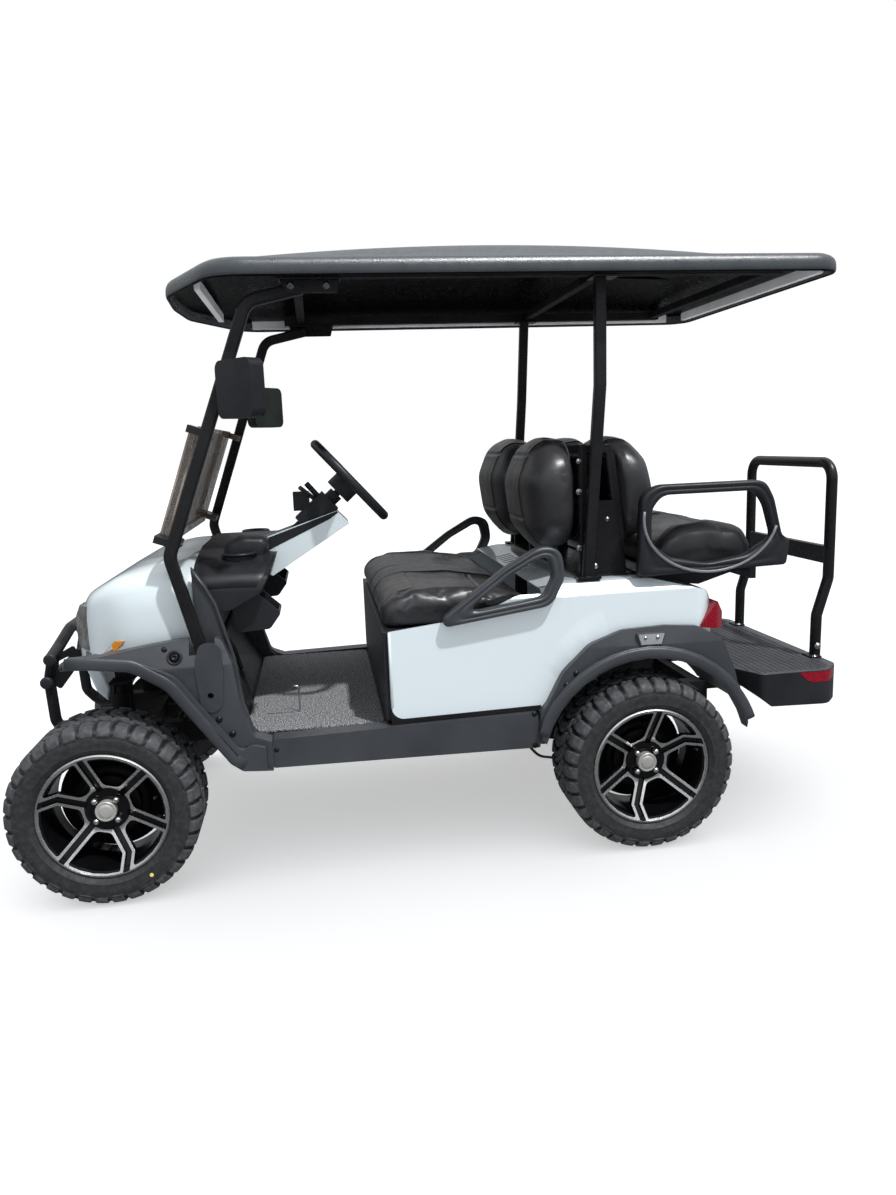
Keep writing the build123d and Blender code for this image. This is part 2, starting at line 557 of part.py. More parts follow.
def dash():
    def form(by):
        side = inset(DASH_SIDE, by) if by else DASH_SIDE
        front = inset(DASH_FRONT, by) if by else DASH_FRONT
        return common(slab(side, "y", -700, 700), slab(front, "x", -700, -200))
    core = form(SKIN)
    core = add(core, Pos(-8, 0, 0) * core)
    shell = cut(form(0), core)
    cups = [rod((CUP_X, s * CUP_Y, 905), (CUP_X, s * CUP_Y, CUP_TOP), CUP_R + 5) for s in (-1, 1)]
    wells = [rod((CUP_X, s * CUP_Y, CUP_FLOOR), (CUP_X, s * CUP_Y, 1060), CUP_R) for s in (-1, 1)]
    bins = []
    for y0, y1 in ((-470, -345), (150, 440)):
        tub = slab([(-440, 765, 12), (-330, 772, 20), (-298, 815, 10), (-298, 824), (-362, 884), (-440, 850)], "y", y0, y1)
        bins.append(cut(tub, slab([(-434, 772), (-336, 779, 16), (-304, 820), (-290, 900), (-428, 900)], "y", y0 + 5, y1 - 5)))
    panel = cut(block(-330, -296, 20, 140, 905, 965), block(-340, -280, 26, 134, 911, 959))
    whole = cut(add(shell, cups, bins), *wells)
    notch = slab([(-470, 1030), (-435, 985), (-310, 890), (-250, 930), (-250, 1100), (-400, 1100)], "y", -336, -224)
    return cut(whole, notch, rod(SHAFT_TOP, SHAFT_LOW, 24), rod(along_column(-300), along_column(-470), 30))


parts["dash"] = [dash()]


def pedals():
    out = []
    for y, wide, z in ((-330, 84, 560), (-150, 60, 548)):
        out.append(slab([(-436, z - 62), (-424, z - 58), (-452, z + 30), (-466, z + 24)], "y", y - wide / 2, y + wide / 2, 4))
        out.append(tube([(-452, y, z + 4), (-478, y, z + 100), (-528, y, z + 200)], 30, r=8))
    mount = block(-540, -520, -350, -130, 740, 780)
    return add(out, mount)


parts["pedals"] = [pedals()]


# ---------------------------------------------------------------- top and windshield


def front_struts():
    one = tube([(-517, -560, 696), (-596, -560, 1020), (-332, -493, 1736), (-170, -493, 1772)], 60, wide=STRUT_W, deep=STRUT_D)
    foot = block(-545, -493, -578, -541, 690, 712)
    plate = slab([(-215, 1755), (-70, 1755), (-60, 1796), (-235, 1796)], "y", -513, -507, 6)
    top_plate = block(-235, -60, -530, -474, 1790, 1796)
    return both(add(one, plate, top_plate))


parts["front_struts"] = front_struts()


def rear_struts():
    one = tube([(668, -520, DECK_TOP - 6), (712, -520, 1475), (722, -493, 1792)], 80, wide=STRUT_W, deep=STRUT_D)
    plate = block(690, 770, -530, -460, 1790, 1796)
    foot = block(630, 706, -545, -496, DECK_TOP, 886)
    return both(cut(add(one, plate, foot), block(500, 900, -600, 0, 800, DECK_TOP)))


parts["rear_struts"] = rear_struts()

ROOF_PLAN = [(-500, -440, 90), (-420, -608, 110), (600, -612, 300), (1400, -608, 60), (1462, -560, 70), (1462, 560, 70), (1400, 608, 60), (600, 612, 300), (-420, 608, 110), (-500, 440, 90), (-590, 250, 160), (-606, 0, 400), (-590, -250, 160)]
ROOF_LOW, ROOF_LIP, ROOF_CROWN = 1786.0, 1832.0, 1912.0


def canopy():
    def layer(by, z):
        return Wire(path_edges([(spread(p[0]), p[1], z, p[2]) for p in inset(ROOF_PLAN, by)], closed=True))

    lip = add(
        Solid.make_loft([layer(5, ROOF_LOW), layer(0, ROOF_LOW + 8)], True),
        Solid.make_loft([layer(0, ROOF_LOW + 8), layer(0, ROOF_LIP - 18)], True),
        Solid.make_loft([layer(0, ROOF_LIP - 18), layer(5, ROOF_LIP - 6)], True),
        Solid.make_loft([layer(5, ROOF_LIP - 6), layer(15, ROOF_LIP)], True),
    )
    hollow = slab(inset(ROOF_PLAN, 14), "z", ROOF_LOW - 10, ROOF_LIP - 7)
    tray = cut(lip, hollow)
    low = [(-250, -470, 120), (1360, -490, 120), (1360, 490, 120), (-250, 470, 120)]
    high = [(420, -390, 120), (1250, -440, 120), (1250, 440, 120), (420, 390, 120)]

    def crown(by, drop):
        a = Wire(path_edges([(spread(p[0]), p[1], ROOF_LIP - 2 - drop, p[2] - by) for p in inset(low, by)], closed=True))
        b = Wire(path_edges([(spread(p[0]), p[1], ROOF_CROWN - drop, p[2] - by) for p in inset(high, by)], closed=True))
        return Solid.make_loft([a, b])
    return cut(add(tray, crown(0, 0)), crown(8, 7), Pos(0, 0, -4) * crown(8, 7))


parts["canopy"] = [canopy()]


def canopy_rails():
    """Bright strips inside the roof's edge, and two long bearers above the struts."""
    side = block(-380, 1368, -584, -566, 1794, ROOF_LIP - 7)
    back = block(1414, 1434, -520, 520, 1794, ROOF_LIP - 7)
    nose = block(-490, -470, -345, 345, 1794, ROOF_LIP - 7)
    return both(side) + [back, nose]


parts["canopy_rails"] = canopy_rails()


def roof_bearers():
    longs = [block(-250, 1300, s * 500 - 18, s * 500 + 18, 1796, ROOF_LIP - 7) for s in (-1, 1)]
    across = [block(a, a + 30, -500, 500, 1800, ROOF_LIP - 7) for a in (-200, 715, 1260)]
    return add(longs, across)


parts["roof_bearers"] = [roof_bearers()]


def windshield():
    """A fixed lower sheet and the upper one folded down in front of it."""
    run = (0.345, 0.9386)
    across = (-0.9386, 0.345)

    def sheet(x, z, tall, gap, thick, wide):
        a = (x + across[0] * gap, z + across[1] * gap)
        b = (a[0] + run[0] * tall, a[1] + run[1] * tall)
        pts = [a, (a[0] + across[0] * thick, a[1] + across[1] * thick), (b[0] + across[0] * thick, b[1] + across[1] * thick), b]
        return slab(pts, "y", -wide, wide)
    lower = sheet(-588, 1030, 372, 32, 6, 478)
    upper = sheet(-588, 1034, 350, 52, 6, 470)
    clips = []
    for t in (14, 346):
        x, z = -588 + run[0] * t, 1030 + run[1] * t
        strut_y = 560 - (z - 1005) * 67 / 716
        pts = [(x + across[0] * g + run[0] * h, z + across[1] * g + run[1] * h) for g, h in ((-10, 0), (61, 0), (61, 22), (-10, 22))]
        clip = cut(slab(pts, "y", -strut_y, -440), parts["front_struts"][0])
        clips += both(max(clip.solids(), key=lambda b: b.volume))
    return add(lower, upper, clips)


parts["windshield"] = [windshield()]


MIRROR_C = (-356.0, -612.0, 1486.0)


def mirrors():
    turn = 40.0
    housing = Pos(*place(MIRROR_C)) * Rot(0, 0, turn) * extrude(Plane.YZ.offset(-23) * RectangleRounded(164, 160, 25), 46)
    arm = rod((-420, -528, 1470), (-372, -590, 1480), 10)
    whole = cut(add(housing, arm), *parts["front_struts"])
    whole = max(whole.solids(), key=lambda b: b.volume)
    return both(whole)


parts["mirrors"] = mirrors()


# ---------------------------------------------------------------- rear body
BODY_SIDE = [(24, sill_top(24)), (478, sill_top(478)), (1092, 474), (1092, 665), (1068, 800, 20), (1046, 828, 20), (840, 878, 60), (590, 878, 60), (420, 842, 60), (330, 802, 60), (191, 776, 60), (24, 757, 6)]
SEAT_BOTTOM = FRONT_HINGE[1]


def rear_body():
    corner = [(-BODY_Y, 400), (BODY_Y, 400), (BODY_Y, 836, 10), (532, 879, 40), (-532, 879, 40), (-BODY_Y, 836, 10)]
    plan = [(0, -BODY_Y), (1040, -BODY_Y, 60), (1093, -505, 60), (1093, 505, 60), (1040, BODY_Y, 60), (0, BODY_Y)]

    def form(by):
        a = inset(BODY_SIDE, by) if by else BODY_SIDE
        b = inset(corner, by) if by else corner
        c = inset(plan, by) if by else plan
        return common(slab(a, "y", -700, 700), slab(b, "x", -100, 1300), slab(c, "z", 300, 1000))
    core = form(SKIN)
    core = add(core, Pos(-12, 0, 0) * core, Pos(0, 0, -12) * core, Pos(-12, 0, -12) * core)
    shell = cut(form(0), core)
    mouth = block(0, 506, -561, 561, 600, 1000)
    arches = rod((AXLE, -700, HUB_Z), (AXLE, 700, HUB_Z), ARCH_R + 6)
    lamps = tail_lamps()
    vents = [block(520, 580, y - 9, y + 9, 840, 900) for y in range(-210, 211, 42)]
    return cut(shell, mouth, arches, *lamps, *vents)


def tail_lamps():
    out = []
    for s in (-1, 1):
        body = slab([(1079, 792), (1019, 708.5), (1122, 695), (1119, 742, 20)], "y", min(s * 481, s * 576), max(s * 481, s * 576), 6)
        plan = [(1000, s * 480), (1124, s * 480), (1118, s * 530, 20), (1078, s * 576, 30), (1000, s * 577)]
        out.append(common(body, slab(plan if s > 0 else plan[::-1], "z", 600, 900)))
    return out


parts["rear_body"] = [rear_body()]
parts["tail_lamps"] = tail_lamps()

# Outer edge of the rear flare: angle round the hub, width beyond the arch, corner radius.
REAR_RIDGE = [
    (165.2, 15, 0), (150.9, 54, 0), (145.9, 47, 20), (130.4, 74, 60), (115.1, 96, 80), (100.1, 99, 60),
    (82.1, 102, 60), (68.5, 122, 60), (57.5, 118, 40), (44.9, 65, 40), (18.4, 9, 0),
]
REAR_LIP = 40.0
FLARE_TOP = HUB_Z + ARCH_R + 100


def round_hub(turn, beyond):
    r = ARCH_R + beyond
    return AXLE + r * math.cos(math.radians(turn)), HUB_Z + r * math.sin(math.radians(turn))


def rear_flare():
    lip = arc_points(AXLE, HUB_Z, ARCH_R, 15.5, 164.5, 16)
    outline = [round_hub(t, w) + ((r,) if r else ()) for t, w, r in REAR_RIDGE]
    outline = (outline + lip)[::-1]
    edge = [(-WALL_Y, 300), (-BODY_Y, 300), (-BODY_Y, FLARE_TOP), (-584, FLARE_TOP), (-WALL_Y, FLARE_TOP - 60)]
    whole = common(slab(outline, "y", -640, -560), slab(edge, "x", SILL_END, 1300))
    inner = [(-WALL_Y + SKIN, 300), (-566, 300), (-566, FLARE_TOP - 7), (-580, FLARE_TOP - 7), (-WALL_Y + SKIN, FLARE_TOP - 63)]
    core = common(slab(inset(outline, SKIN), "y", -640, -560), slab(inner, "x", 300, 1300))
    shell = cut(whole, core)
    outer = arc_points(AXLE, HUB_Z, ARCH_R + REAR_LIP, 19, 161, 16)
    raised = common(slab(lip + outer[::-1], "y", -FLARE_Y, -WALL_Y + 1), slab(outline, "y", -640, -560))
    liner = cut(rod((AXLE, -575, HUB_Z), (AXLE, -334, HUB_Z), ARCH_R + 5), rod((AXLE, -640, HUB_Z), (AXLE, -300, HUB_Z), ARCH_R))
    liner = common(liner, block(400, 1300, -700, 0, 477, 1000))
    plaque = slab([(800, FLARE_TOP - 20), (812, FLARE_TOP - 58), (884, FLARE_TOP - 58), (896, FLARE_TOP - 20)], "y", -WALL_Y - 4, -WALL_Y + 20, 3)
    return add(shell, raised, liner, plaque)


parts["rear_flares"] = both(rear_flare())


def seat_pod():
    outer = block(8, 500, -560, 560, DECK_Z + 6, SEAT_BOTTOM)
    inner = block(14, 520, -554, 554, 440, SEAT_BOTTOM - 6)
    return cut(outer, inner, block(95, 450, -400, 400, 700, 800), block(0, 520, -570, -520, 440, 476), block(0, 520, 520, 570, 440, 476))


parts["seat_pod"] = [seat_pod()]

CUSHION_F = [(20, SEAT_BOTTOM), (504, SEAT_BOTTOM), (504, 842, 20), (350, 900, 120), (170, 948, 90), (60, 950, 60), (6, 915, 45), (6, 775, 14)]
parts["front_seat_cushion"] = [slab(CUSHION_F, "y", -535, 535)]


# ---------------------------------------------------------------- seats and rear end
def rear_face(z):
    """Where the rear uprights' back face is at a height."""
    return 802 + 12.1 - (z - 874) * 52 / 421


def seat_back_frame():
    bits = []
    for y in (-470, -200, 200, 470):
        bits.append(tube([(668, y, DECK_TOP - 4), (671, y, 1295)], 5, wide=24, deep=24))
        bits.append(tube([(802, y, DECK_TOP - 4), (750, y, 1295)], 5, wide=24, deep=24))
        bits.append(block(665, 760, y - 12, y + 12, 1270, 1294))
    for x, z in ((671, 1240), (670, 1010), (757, 1240), (787, 1000)):
        bits.append(block(x - 10, x + 10, -480, 480, z - 18, z + 18))
    bits.append(block(640, 825, -494, 494, DECK_TOP, 886))
    for s in (-1, 1):
        plate = slab([(672, 884), (800, 884), (768, 1120), (672, 1120)], "y", min(s * 481, s * 487), max(s * 481, s * 487))
        bits.append(plate)
    for s in (-1, 1):
        bits.append(block(655, 661, min(s * 30, s * 478), max(s * 30, s * 478), 1030, 1262))
        board = [(rear_face(z) + d, z) for z, d in ((990, 0), (990, 6), (1270, 6), (1270, 0))]
        bits.append(slab(board, "y", min(s * 30, s * 478), max(s * 30, s * 478)))
    return cut(add(bits), block(500, 900, -600, 600, 800, DECK_TOP))


parts["seat_back_frame"] = [seat_back_frame()]

PAD_F = [(575, 944, 30), (625, 944, 30), (655, 985, 30), (655, 1318, 25), (600, 1328, 50), (530, 1285, 70), (488, 1180, 90), (508, 1040, 90)]
PAD_R = [(rear_face(966) + 6, 966, 16), (868, 964, 30), (904, 1015, 60), (922, 1100, 80), (925, 1150, 70), (905, 1240, 70), (850, 1312, 50), (790, 1326, 30), (rear_face(1300) + 6, 1300, 20)]
parts["front_backrests"] = [slab(PAD_F, "y", a, b) for a, b in ((-498, -5), (5, 498))]
parts["rear_backrests"] = [slab(PAD_R, "y", a, b) for a, b in ((-498, -5), (5, 498))]

HIP_OUT = [(196, 768, 18), (530, 815, 30), (572, 900, 45), (560, 985, 45), (500, 1000, 50), (380, 935, 60), (188, 792, 18)]
HIP_IN = [(250, 802, 14), (505, 842, 20), (538, 905, 26), (528, 962, 30), (500, 968, 30), (400, 915, 40)]


def hip_restraint():
    hoop = cut(slab(HIP_OUT, "y", -606, -BODY_Y), slab(HIP_IN, "y", -620, -560))
    return hoop


parts["hip_restraints"] = both(hip_restraint())


def deck_slope(x):
    return DECK_TOP - (x - 840) * 50 / 206


def rear_seat_base():
    deck = block(826, 1226, -539, 539, 887, 893)
    wedges = [slab([(860, deck_slope(860)), (1040, deck_slope(1040)), (1070, 826), (1210, 868), (1210, 888), (860, 888)], "y", y - 20, y + 20) for y in (-430, 0, 430)]
    back = block(1206, 1226, -539, 539, 850, 890)
    hinge = [rod((REAR_HINGE[0], y - 30, REAR_HINGE[1]), (REAR_HINGE[0], y + 30, REAR_HINGE[1]), 4) for y in (-300, 300)]
    lugs = [block(1222, 1246, y - s * 36 - 6, y - s * 36 + 6, 870, 904) for y in (-300, 300) for s in (-1, 1)]
    return add(deck, wedges, back, hinge, lugs)


parts["rear_seat_base"] = [rear_seat_base()]

ARM_OUT = [(818, 882, 10), (1310, 895, 10), (1320, 975, 14), (1292, 990, 20), (1262, 1110, 60), (1235, 1168, 50), (880, 1164, 60), (828, 1140, 60), (820, 1000, 20)]
ARM_IN = [(862, 985, 20), (920, 935, 50), (1040, 912, 120), (1170, 930, 90), (1270, 985, 20), (1235, 1085, 60), (1205, 1134, 40), (890, 1130, 40), (860, 1085, 40)]


def rear_armrest():
    hoop = cut(slab(ARM_OUT, "y", -583, -546), slab(ARM_IN, "y", -600, -530))
    flange = block(840, 1226, -546, -539, 882.5, 894)
    return add(hoop, flange)


parts["rear_armrests"] = both(rear_armrest())

CUSHION_R = [(893, 893), (1230, 893), (1232, 950, 20), (1205, 1012, 40), (1080, 1040, 120), (975, 1025, 60), (925, 985, 40), (898, 935, 15)]


def rear_seat():
    pad = slab(CUSHION_R, "y", -528, 528)
    notch = [block(1216, 1256, y - 46, y + 46, 880, 916) for y in (-300, 300)]
    pad = cut(pad, *notch)
    ears = [cut(block(1212, 1247, y - 28, y + 28, 893, 905), rod((REAR_HINGE[0], y - 40, REAR_HINGE[1]), (REAR_HINGE[0], y + 40, REAR_HINGE[1]), 4.08)) for y in (-300, 300)]
    return add(pad, ears)


parts["rear_seat_cushion"] = [rear_seat()]

PLATE_PLAN = [(1228, -345), (1292, -476, 30), (1540, -474, 60), (1606, -400, 50), (1606, 400, 50), (1540, 474, 60), (1292, 476, 30), (1228, 345)]


def footplate():
    side = [(1228, 470), (1330, 388, 20), (1606, 381), (1606, 505), (1228, 505)]
    whole = common(slab(PLATE_PLAN, "z", 300, 600), slab(side, "y", -600, 600))
    core = common(slab(inset(PLATE_PLAN, 6), "z", 300, 499), slab([(1180, 440), (1330, 370), (1650, 370), (1650, 499), (1180, 499)], "y", -600, 600))
    shell = cut(whole, core)
    mounts = [block(1480, 1520, s * 205 - 20, s * 205 + 20, 452, 500) for s in (-1, 1)]
    shell = add(shell, mounts)
    return cut(shell, *[block(1190, 1240, s * 205 - 24, s * 205 + 24, 380, 456) for s in (-1, 1)])


parts["footplate"] = [footplate()]


def grab_bar():
    pts = [(1594, -290, 505.0), (1595, -290, 656), (1635, -290, 790), (1635, -290, 1200, 60), (1635, 290, 1200, 60), (1635, 290, 790), (1595, 290, 656), (1594, 290, 505.0)]
    bar = tube(pts, 60, r=19)
    cross = block(1622, 1648, -280, 280, 842, 904)
    feet = [slab([(1560, s * 290 - 35), (1604, s * 290 - 35), (1604, s * 290 + 35), (1560, s * 290 + 35)], "z", 505.0, 511, 8) for s in (-1, 1)]
    return cut(add(bar, cross, feet), block(1500, 1700, -400, 400, 480, 505.0))


parts["grab_bar"] = [grab_bar()]

# ---------------------------------------------------------------- write
boxes = [s.bounding_box() for group in parts.values() for s in group]
MIDDLE = (min(b.min.X for b in boxes) + max(b.max.X for b in boxes)) / 2
print("middle", MIDDLE, "length", max(b.max.X for b in boxes) - min(b.min.X for b in boxes))
for name, group in parts.items():
    solids = [s for g in group for s in g.solids()]
    moved = [Pos(-MIDDLE, 0, 0) * s for s in solids]
    export_step(Compound(moved) if len(moved) > 1 else moved[0], f"parts/{name}.step")
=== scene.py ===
import math

import bmesh
import bpy
from mathutils import Matrix, Vector, noise


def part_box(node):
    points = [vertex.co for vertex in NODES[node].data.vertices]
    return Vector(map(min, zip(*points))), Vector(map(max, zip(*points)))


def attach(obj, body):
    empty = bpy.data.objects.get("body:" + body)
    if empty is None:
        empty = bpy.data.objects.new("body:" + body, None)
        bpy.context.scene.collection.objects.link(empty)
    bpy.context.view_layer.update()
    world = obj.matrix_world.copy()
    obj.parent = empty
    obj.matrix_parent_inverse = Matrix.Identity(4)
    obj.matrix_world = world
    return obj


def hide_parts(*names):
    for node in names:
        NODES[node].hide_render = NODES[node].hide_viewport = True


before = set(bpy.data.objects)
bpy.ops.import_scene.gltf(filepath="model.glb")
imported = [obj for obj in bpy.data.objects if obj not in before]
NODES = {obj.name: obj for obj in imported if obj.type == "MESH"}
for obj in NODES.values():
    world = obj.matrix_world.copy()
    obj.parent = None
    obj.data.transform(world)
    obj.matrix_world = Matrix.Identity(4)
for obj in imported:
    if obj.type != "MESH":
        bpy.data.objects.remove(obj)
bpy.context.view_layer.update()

WELD_GAP = 0.00002
FLAT_ANGLE = math.radians(0.6)


# ------------------------------------------------------------------ places
def middle(node):
    low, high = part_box(node)
    return (low + high) / 2


# Sizes below are in mm, with x=0 halfway between the axles, as in the CAD drawing.
MID_X = (middle("tyre_front_left").x + middle("tyre_rear_left").x) / 2
AXLE_X = (middle("tyre_rear_left").x - MID_X) * 1000
HUB_Z = middle("tyre_front_left").z * 1000
TYRE_Y = middle("tyre_front_right").y * 1000
TYRE_R = HUB_Z


def at(x, y, z):
    return Vector((x / 1000 + MID_X, y / 1000, z / 1000))


# ------------------------------------------------------------------ materials
def material(name):
    mat = bpy.data.materials.new(name)
    mat.use_nodes = True
    return mat, mat.node_tree, mat.node_tree.nodes["Principled BSDF"]


def node(tree, kind, **values):
    made = tree.nodes.new(kind)
    for key, value in values.items():
        if key in made.inputs:
            made.inputs[key].default_value = value
        else:
            setattr(made, key, value)
    return made


def grain(tree, scale, detail=3.0, stretch=None):
    """Noise in the object's own coordinates; scale is features per metre."""
    place = node(tree, "ShaderNodeTexCoord")
    source = place.outputs["Object"]
    if stretch:
        mapping = node(tree, "ShaderNodeMapping")
        mapping.inputs["Scale"].default_value = stretch
        tree.links.new(source, mapping.inputs["Vector"])
        source = mapping.outputs["Vector"]
    tex = node(tree, "ShaderNodeTexNoise", Scale=scale, Detail=detail)
    tree.links.new(source, tex.inputs["Vector"])
    return tex.outputs["Fac"]


def cells(tree, scale, feature="F1"):
    place = node(tree, "ShaderNodeTexCoord")
    tex = node(tree, "ShaderNodeTexVoronoi", Scale=scale)
    tex.feature = feature
    tree.links.new(place.outputs["Object"], tex.inputs["Vector"])
    return tex.outputs["Distance"]


def span(tree, value, low, high, out_low, out_high):
    ramp = node(tree, "ShaderNodeMapRange")
    for key, number in (("From Min", low), ("From Max", high), ("To Min", out_low), ("To Max", out_high)):
        ramp.inputs[key].default_value = number
    tree.links.new(value, ramp.inputs["Value"])
    return ramp.outputs["Result"]


def blend_colour(tree, factor, a, b):
    mix = node(tree, "ShaderNodeMix", data_type="RGBA")
    for key, value in (("A", a), ("B", b)):
        if isinstance(value, tuple):
            mix.inputs[key].default_value = (*value, 1)
        else:
            tree.links.new(value, mix.inputs[key])
    tree.links.new(factor, mix.inputs["Factor"])
    return mix.outputs["Result"]


def bump(tree, shader, height, strength, distance):
    bumps = node(tree, "ShaderNodeBump", Strength=strength, Distance=distance)
    tree.links.new(height, bumps.inputs["Height"])
    previous = shader.inputs["Normal"].links
    if previous:
        tree.links.new(previous[0].from_socket, bumps.inputs["Normal"])
    tree.links.new(bumps.outputs["Normal"], shader.inputs["Normal"])


def finish(name, dark, light, rough, metal=0.0, patch=6.0, fine=900.0, depth=0.0002, coat=0.0, specular=0.5):
    """A surface whose colour and gloss drift a little over patches, with a fine grain."""
    mat, tree, shader = material(name)
    drift = span(tree, grain(tree, patch), 0.3, 0.7, 0, 1)
    tree.links.new(blend_colour(tree, drift, dark, light), shader.inputs["Base Color"])
    shader.inputs["Metallic"].default_value = metal
    shader.inputs["Specular IOR Level"].default_value = specular
    shader.inputs["Coat Weight"].default_value = coat
    shader.inputs["Coat Roughness"].default_value = 0.06
    tree.links.new(span(tree, grain(tree, patch * 9), 0.3, 0.7, rough[0], rough[1]),
                   shader.inputs["Roughness"])
    if depth:
        bump(tree, shader, grain(tree, fine, 2.0), 0.6, depth)
    return mat


def leather(name, dark, light, rough):
    """Vinyl with a pebbled grain and soft hand-worn patches."""
    mat, tree, shader = material(name)
    drift = span(tree, grain(tree, 9), 0.35, 0.7, 0, 1)
    tree.links.new(blend_colour(tree, drift, dark, light), shader.inputs["Base Color"])
    tree.links.new(span(tree, grain(tree, 30), 0.3, 0.7, rough[0], rough[1]), shader.inputs["Roughness"])
    bump(tree, shader, cells(tree, 420, "SMOOTH_F1"), 0.35, 0.0006)
    bump(tree, shader, grain(tree, 14, 4.0), 0.25, 0.004)
    return mat


def pearl_paint():
    mat, tree, shader = material("pearl_paint")
    flake = span(tree, grain(tree, 2600, 1.0), 0.4, 0.62, 0, 1)
    tree.links.new(blend_colour(tree, flake, (0.60, 0.68, 0.72), (0.72, 0.79, 0.815)),
                   shader.inputs["Base Color"])
    shader.inputs["Metallic"].default_value = 0.12
    shader.inputs["Coat Weight"].default_value = 1.0
    shader.inputs["Coat Roughness"].default_value = 0.04
    tree.links.new(span(tree, grain(tree, 40), 0.3, 0.7, 0.28, 0.36), shader.inputs["Roughness"])
    bump(tree, shader, grain(tree, 220, 2.0), 0.05, 0.0004)
    return mat


def machined_alloy():
    """Bright turned faces, with fine tool marks."""
    mat, tree, shader = material("machined_alloy")
    drift = span(tree, grain(tree, 24), 0.3, 0.7, 0, 1)
    tree.links.new(blend_colour(tree, drift, (0.72, 0.72, 0.71), (0.90, 0.90, 0.89)),
                   shader.inputs["Base Color"])
    shader.inputs["Metallic"].default_value = 1.0
    shader.inputs["Coat Weight"].default_value = 0.4
    tree.links.new(span(tree, grain(tree, 160), 0.3, 0.7, 0.22, 0.36), shader.inputs["Roughness"])
    bump(tree, shader, grain(tree, 1500, 1.0), 0.15, 0.0002)
    return mat


def tyre_rubber(name, clean, dusty):
    """Rubber with a film of dust in patches."""
    mat, tree, shader = material(name)
    dust = span(tree, grain(tree, 75, 6.0), 0.40, 0.80, 0, 1)
    tree.links.new(blend_colour(tree, dust, clean, dusty), shader.inputs["Base Color"])
    tree.links.new(span(tree, grain(tree, 60), 0.3, 0.7, 0.55, 0.8), shader.inputs["Roughness"])
    bump(tree, shader, grain(tree, 700, 3.0), 0.4, 0.0005)
    return mat


def speckled_mat():
    mat, tree, shader = material("speckled_mat")
    fleck = span(tree, grain(tree, 240, 2.0), 0.50, 0.58, 0, 1)
    tree.links.new(blend_colour(tree, fleck, (0.060, 0.063, 0.070), (0.42, 0.42, 0.43)),
                   shader.inputs["Base Color"])
    shader.inputs["Roughness"].default_value = 0.9
    bump(tree, shader, grain(tree, 800, 2.0), 0.5, 0.001)
    return mat


def tinted_sheet():
    """Thin smoky sheet, see-through, with soft brown clouds."""
    mat, tree, shader = material("tinted_sheet")
    cloud = span(tree, grain(tree, 7, 2.0), 0.38, 0.62, 0, 1)
    tree.links.new(blend_colour(tree, cloud, (0.15, 0.105, 0.078), (0.38, 0.31, 0.255)),
                   shader.inputs["Base Color"])
    shader.inputs["Roughness"].default_value = 0.08
    shader.inputs["Alpha"].default_value = 0.74
    return mat


def lens(name, deep, bright, glow):
    """A coloured lamp lens with fine flutes inside."""
    mat, tree, shader = material(name)
    drift = span(tree, cells(tree, 160), 0.1, 0.5, 0, 1)
    tree.links.new(blend_colour(tree, drift, deep, bright), shader.inputs["Base Color"])
    shader.inputs["Roughness"].default_value = 0.12
    shader.inputs["Coat Weight"].default_value = 0.15
    shader.inputs["Emission Color"].default_value = (*bright, 1)
    shader.inputs["Emission Strength"].default_value = glow
    bump(tree, shader, cells(tree, 160), 0.3, 0.001)
    return mat


def roof_plastic():
    """Grained charcoal sheet; faces turned downward get painted shade: near black, with almost no reflection."""
    mat, tree, shader = material("roof_plastic")
    facing = node(tree, "ShaderNodeNewGeometry")
    parts_ = node(tree, "ShaderNodeSeparateXYZ")
    tree.links.new(facing.outputs["Normal"], parts_.inputs[0])
    # painted shade: faces turned downward are made near black and nearly unreflective
    unshaded_top = span(tree, parts_.outputs["Z"], -0.60, -0.35, 0, 1)
    drift = span(tree, grain(tree, 5), 0.3, 0.7, 0, 1)
    top = blend_colour(tree, drift, (0.026, 0.032, 0.038), (0.040, 0.048, 0.056))
    tree.links.new(blend_colour(tree, unshaded_top, (0.003, 0.003, 0.004), top), shader.inputs["Base Color"])
    tree.links.new(span(tree, unshaded_top, 0, 1, 0.04, 0.9), shader.inputs["Specular IOR Level"])
    tree.links.new(span(tree, grain(tree, 40), 0.3, 0.7, 0.24, 0.36), shader.inputs["Roughness"])
    bump(tree, shader, grain(tree, 420, 2.0), 0.6, 0.001)
    return mat


PAINT = pearl_paint()
CHARCOAL = finish("charcoal_plastic", (0.028, 0.031, 0.037), (0.042, 0.046, 0.053), (0.30, 0.44),
                  depth=0.0005, fine=1100, specular=0.6)
DARK_PLASTIC = finish("dark_plastic", (0.011, 0.012, 0.015), (0.019, 0.020, 0.024), (0.34, 0.48),
                      depth=0.0003, specular=0.3)
ROOF_PLASTIC = roof_plastic()
STEEL = finish("black_steel", (0.006, 0.006, 0.007), (0.012, 0.012, 0.013), (0.24, 0.36), depth=0.0002,
               fine=500, specular=0.3)
CHASSIS = finish("chassis_black", (0.006, 0.006, 0.007), (0.014, 0.014, 0.016), (0.45, 0.65), depth=0.0004,
                 fine=300, specular=0.15)
ZINC = finish("zinc_steel", (0.42, 0.43, 0.45), (0.62, 0.63, 0.64), (0.26, 0.42), metal=1.0, depth=0.0001)
STRIP = finish("bright_strip", (0.62, 0.63, 0.64), (0.80, 0.81, 0.82), (0.30, 0.42), metal=0.15, depth=0.0001)
GLOSS_BLACK = finish("gloss_black", (0.002, 0.002, 0.003), (0.005, 0.005, 0.006), (0.10, 0.18), depth=0.00005,
                     specular=0.35)
GREY_CAP = finish("cap_grey", (0.42, 0.42, 0.40), (0.55, 0.55, 0.52), (0.3, 0.45), metal=0.5, depth=0.0002,
                  fine=400)
VINYL = leather("black_vinyl", (0.022, 0.022, 0.025), (0.036, 0.036, 0.040), (0.30, 0.42))
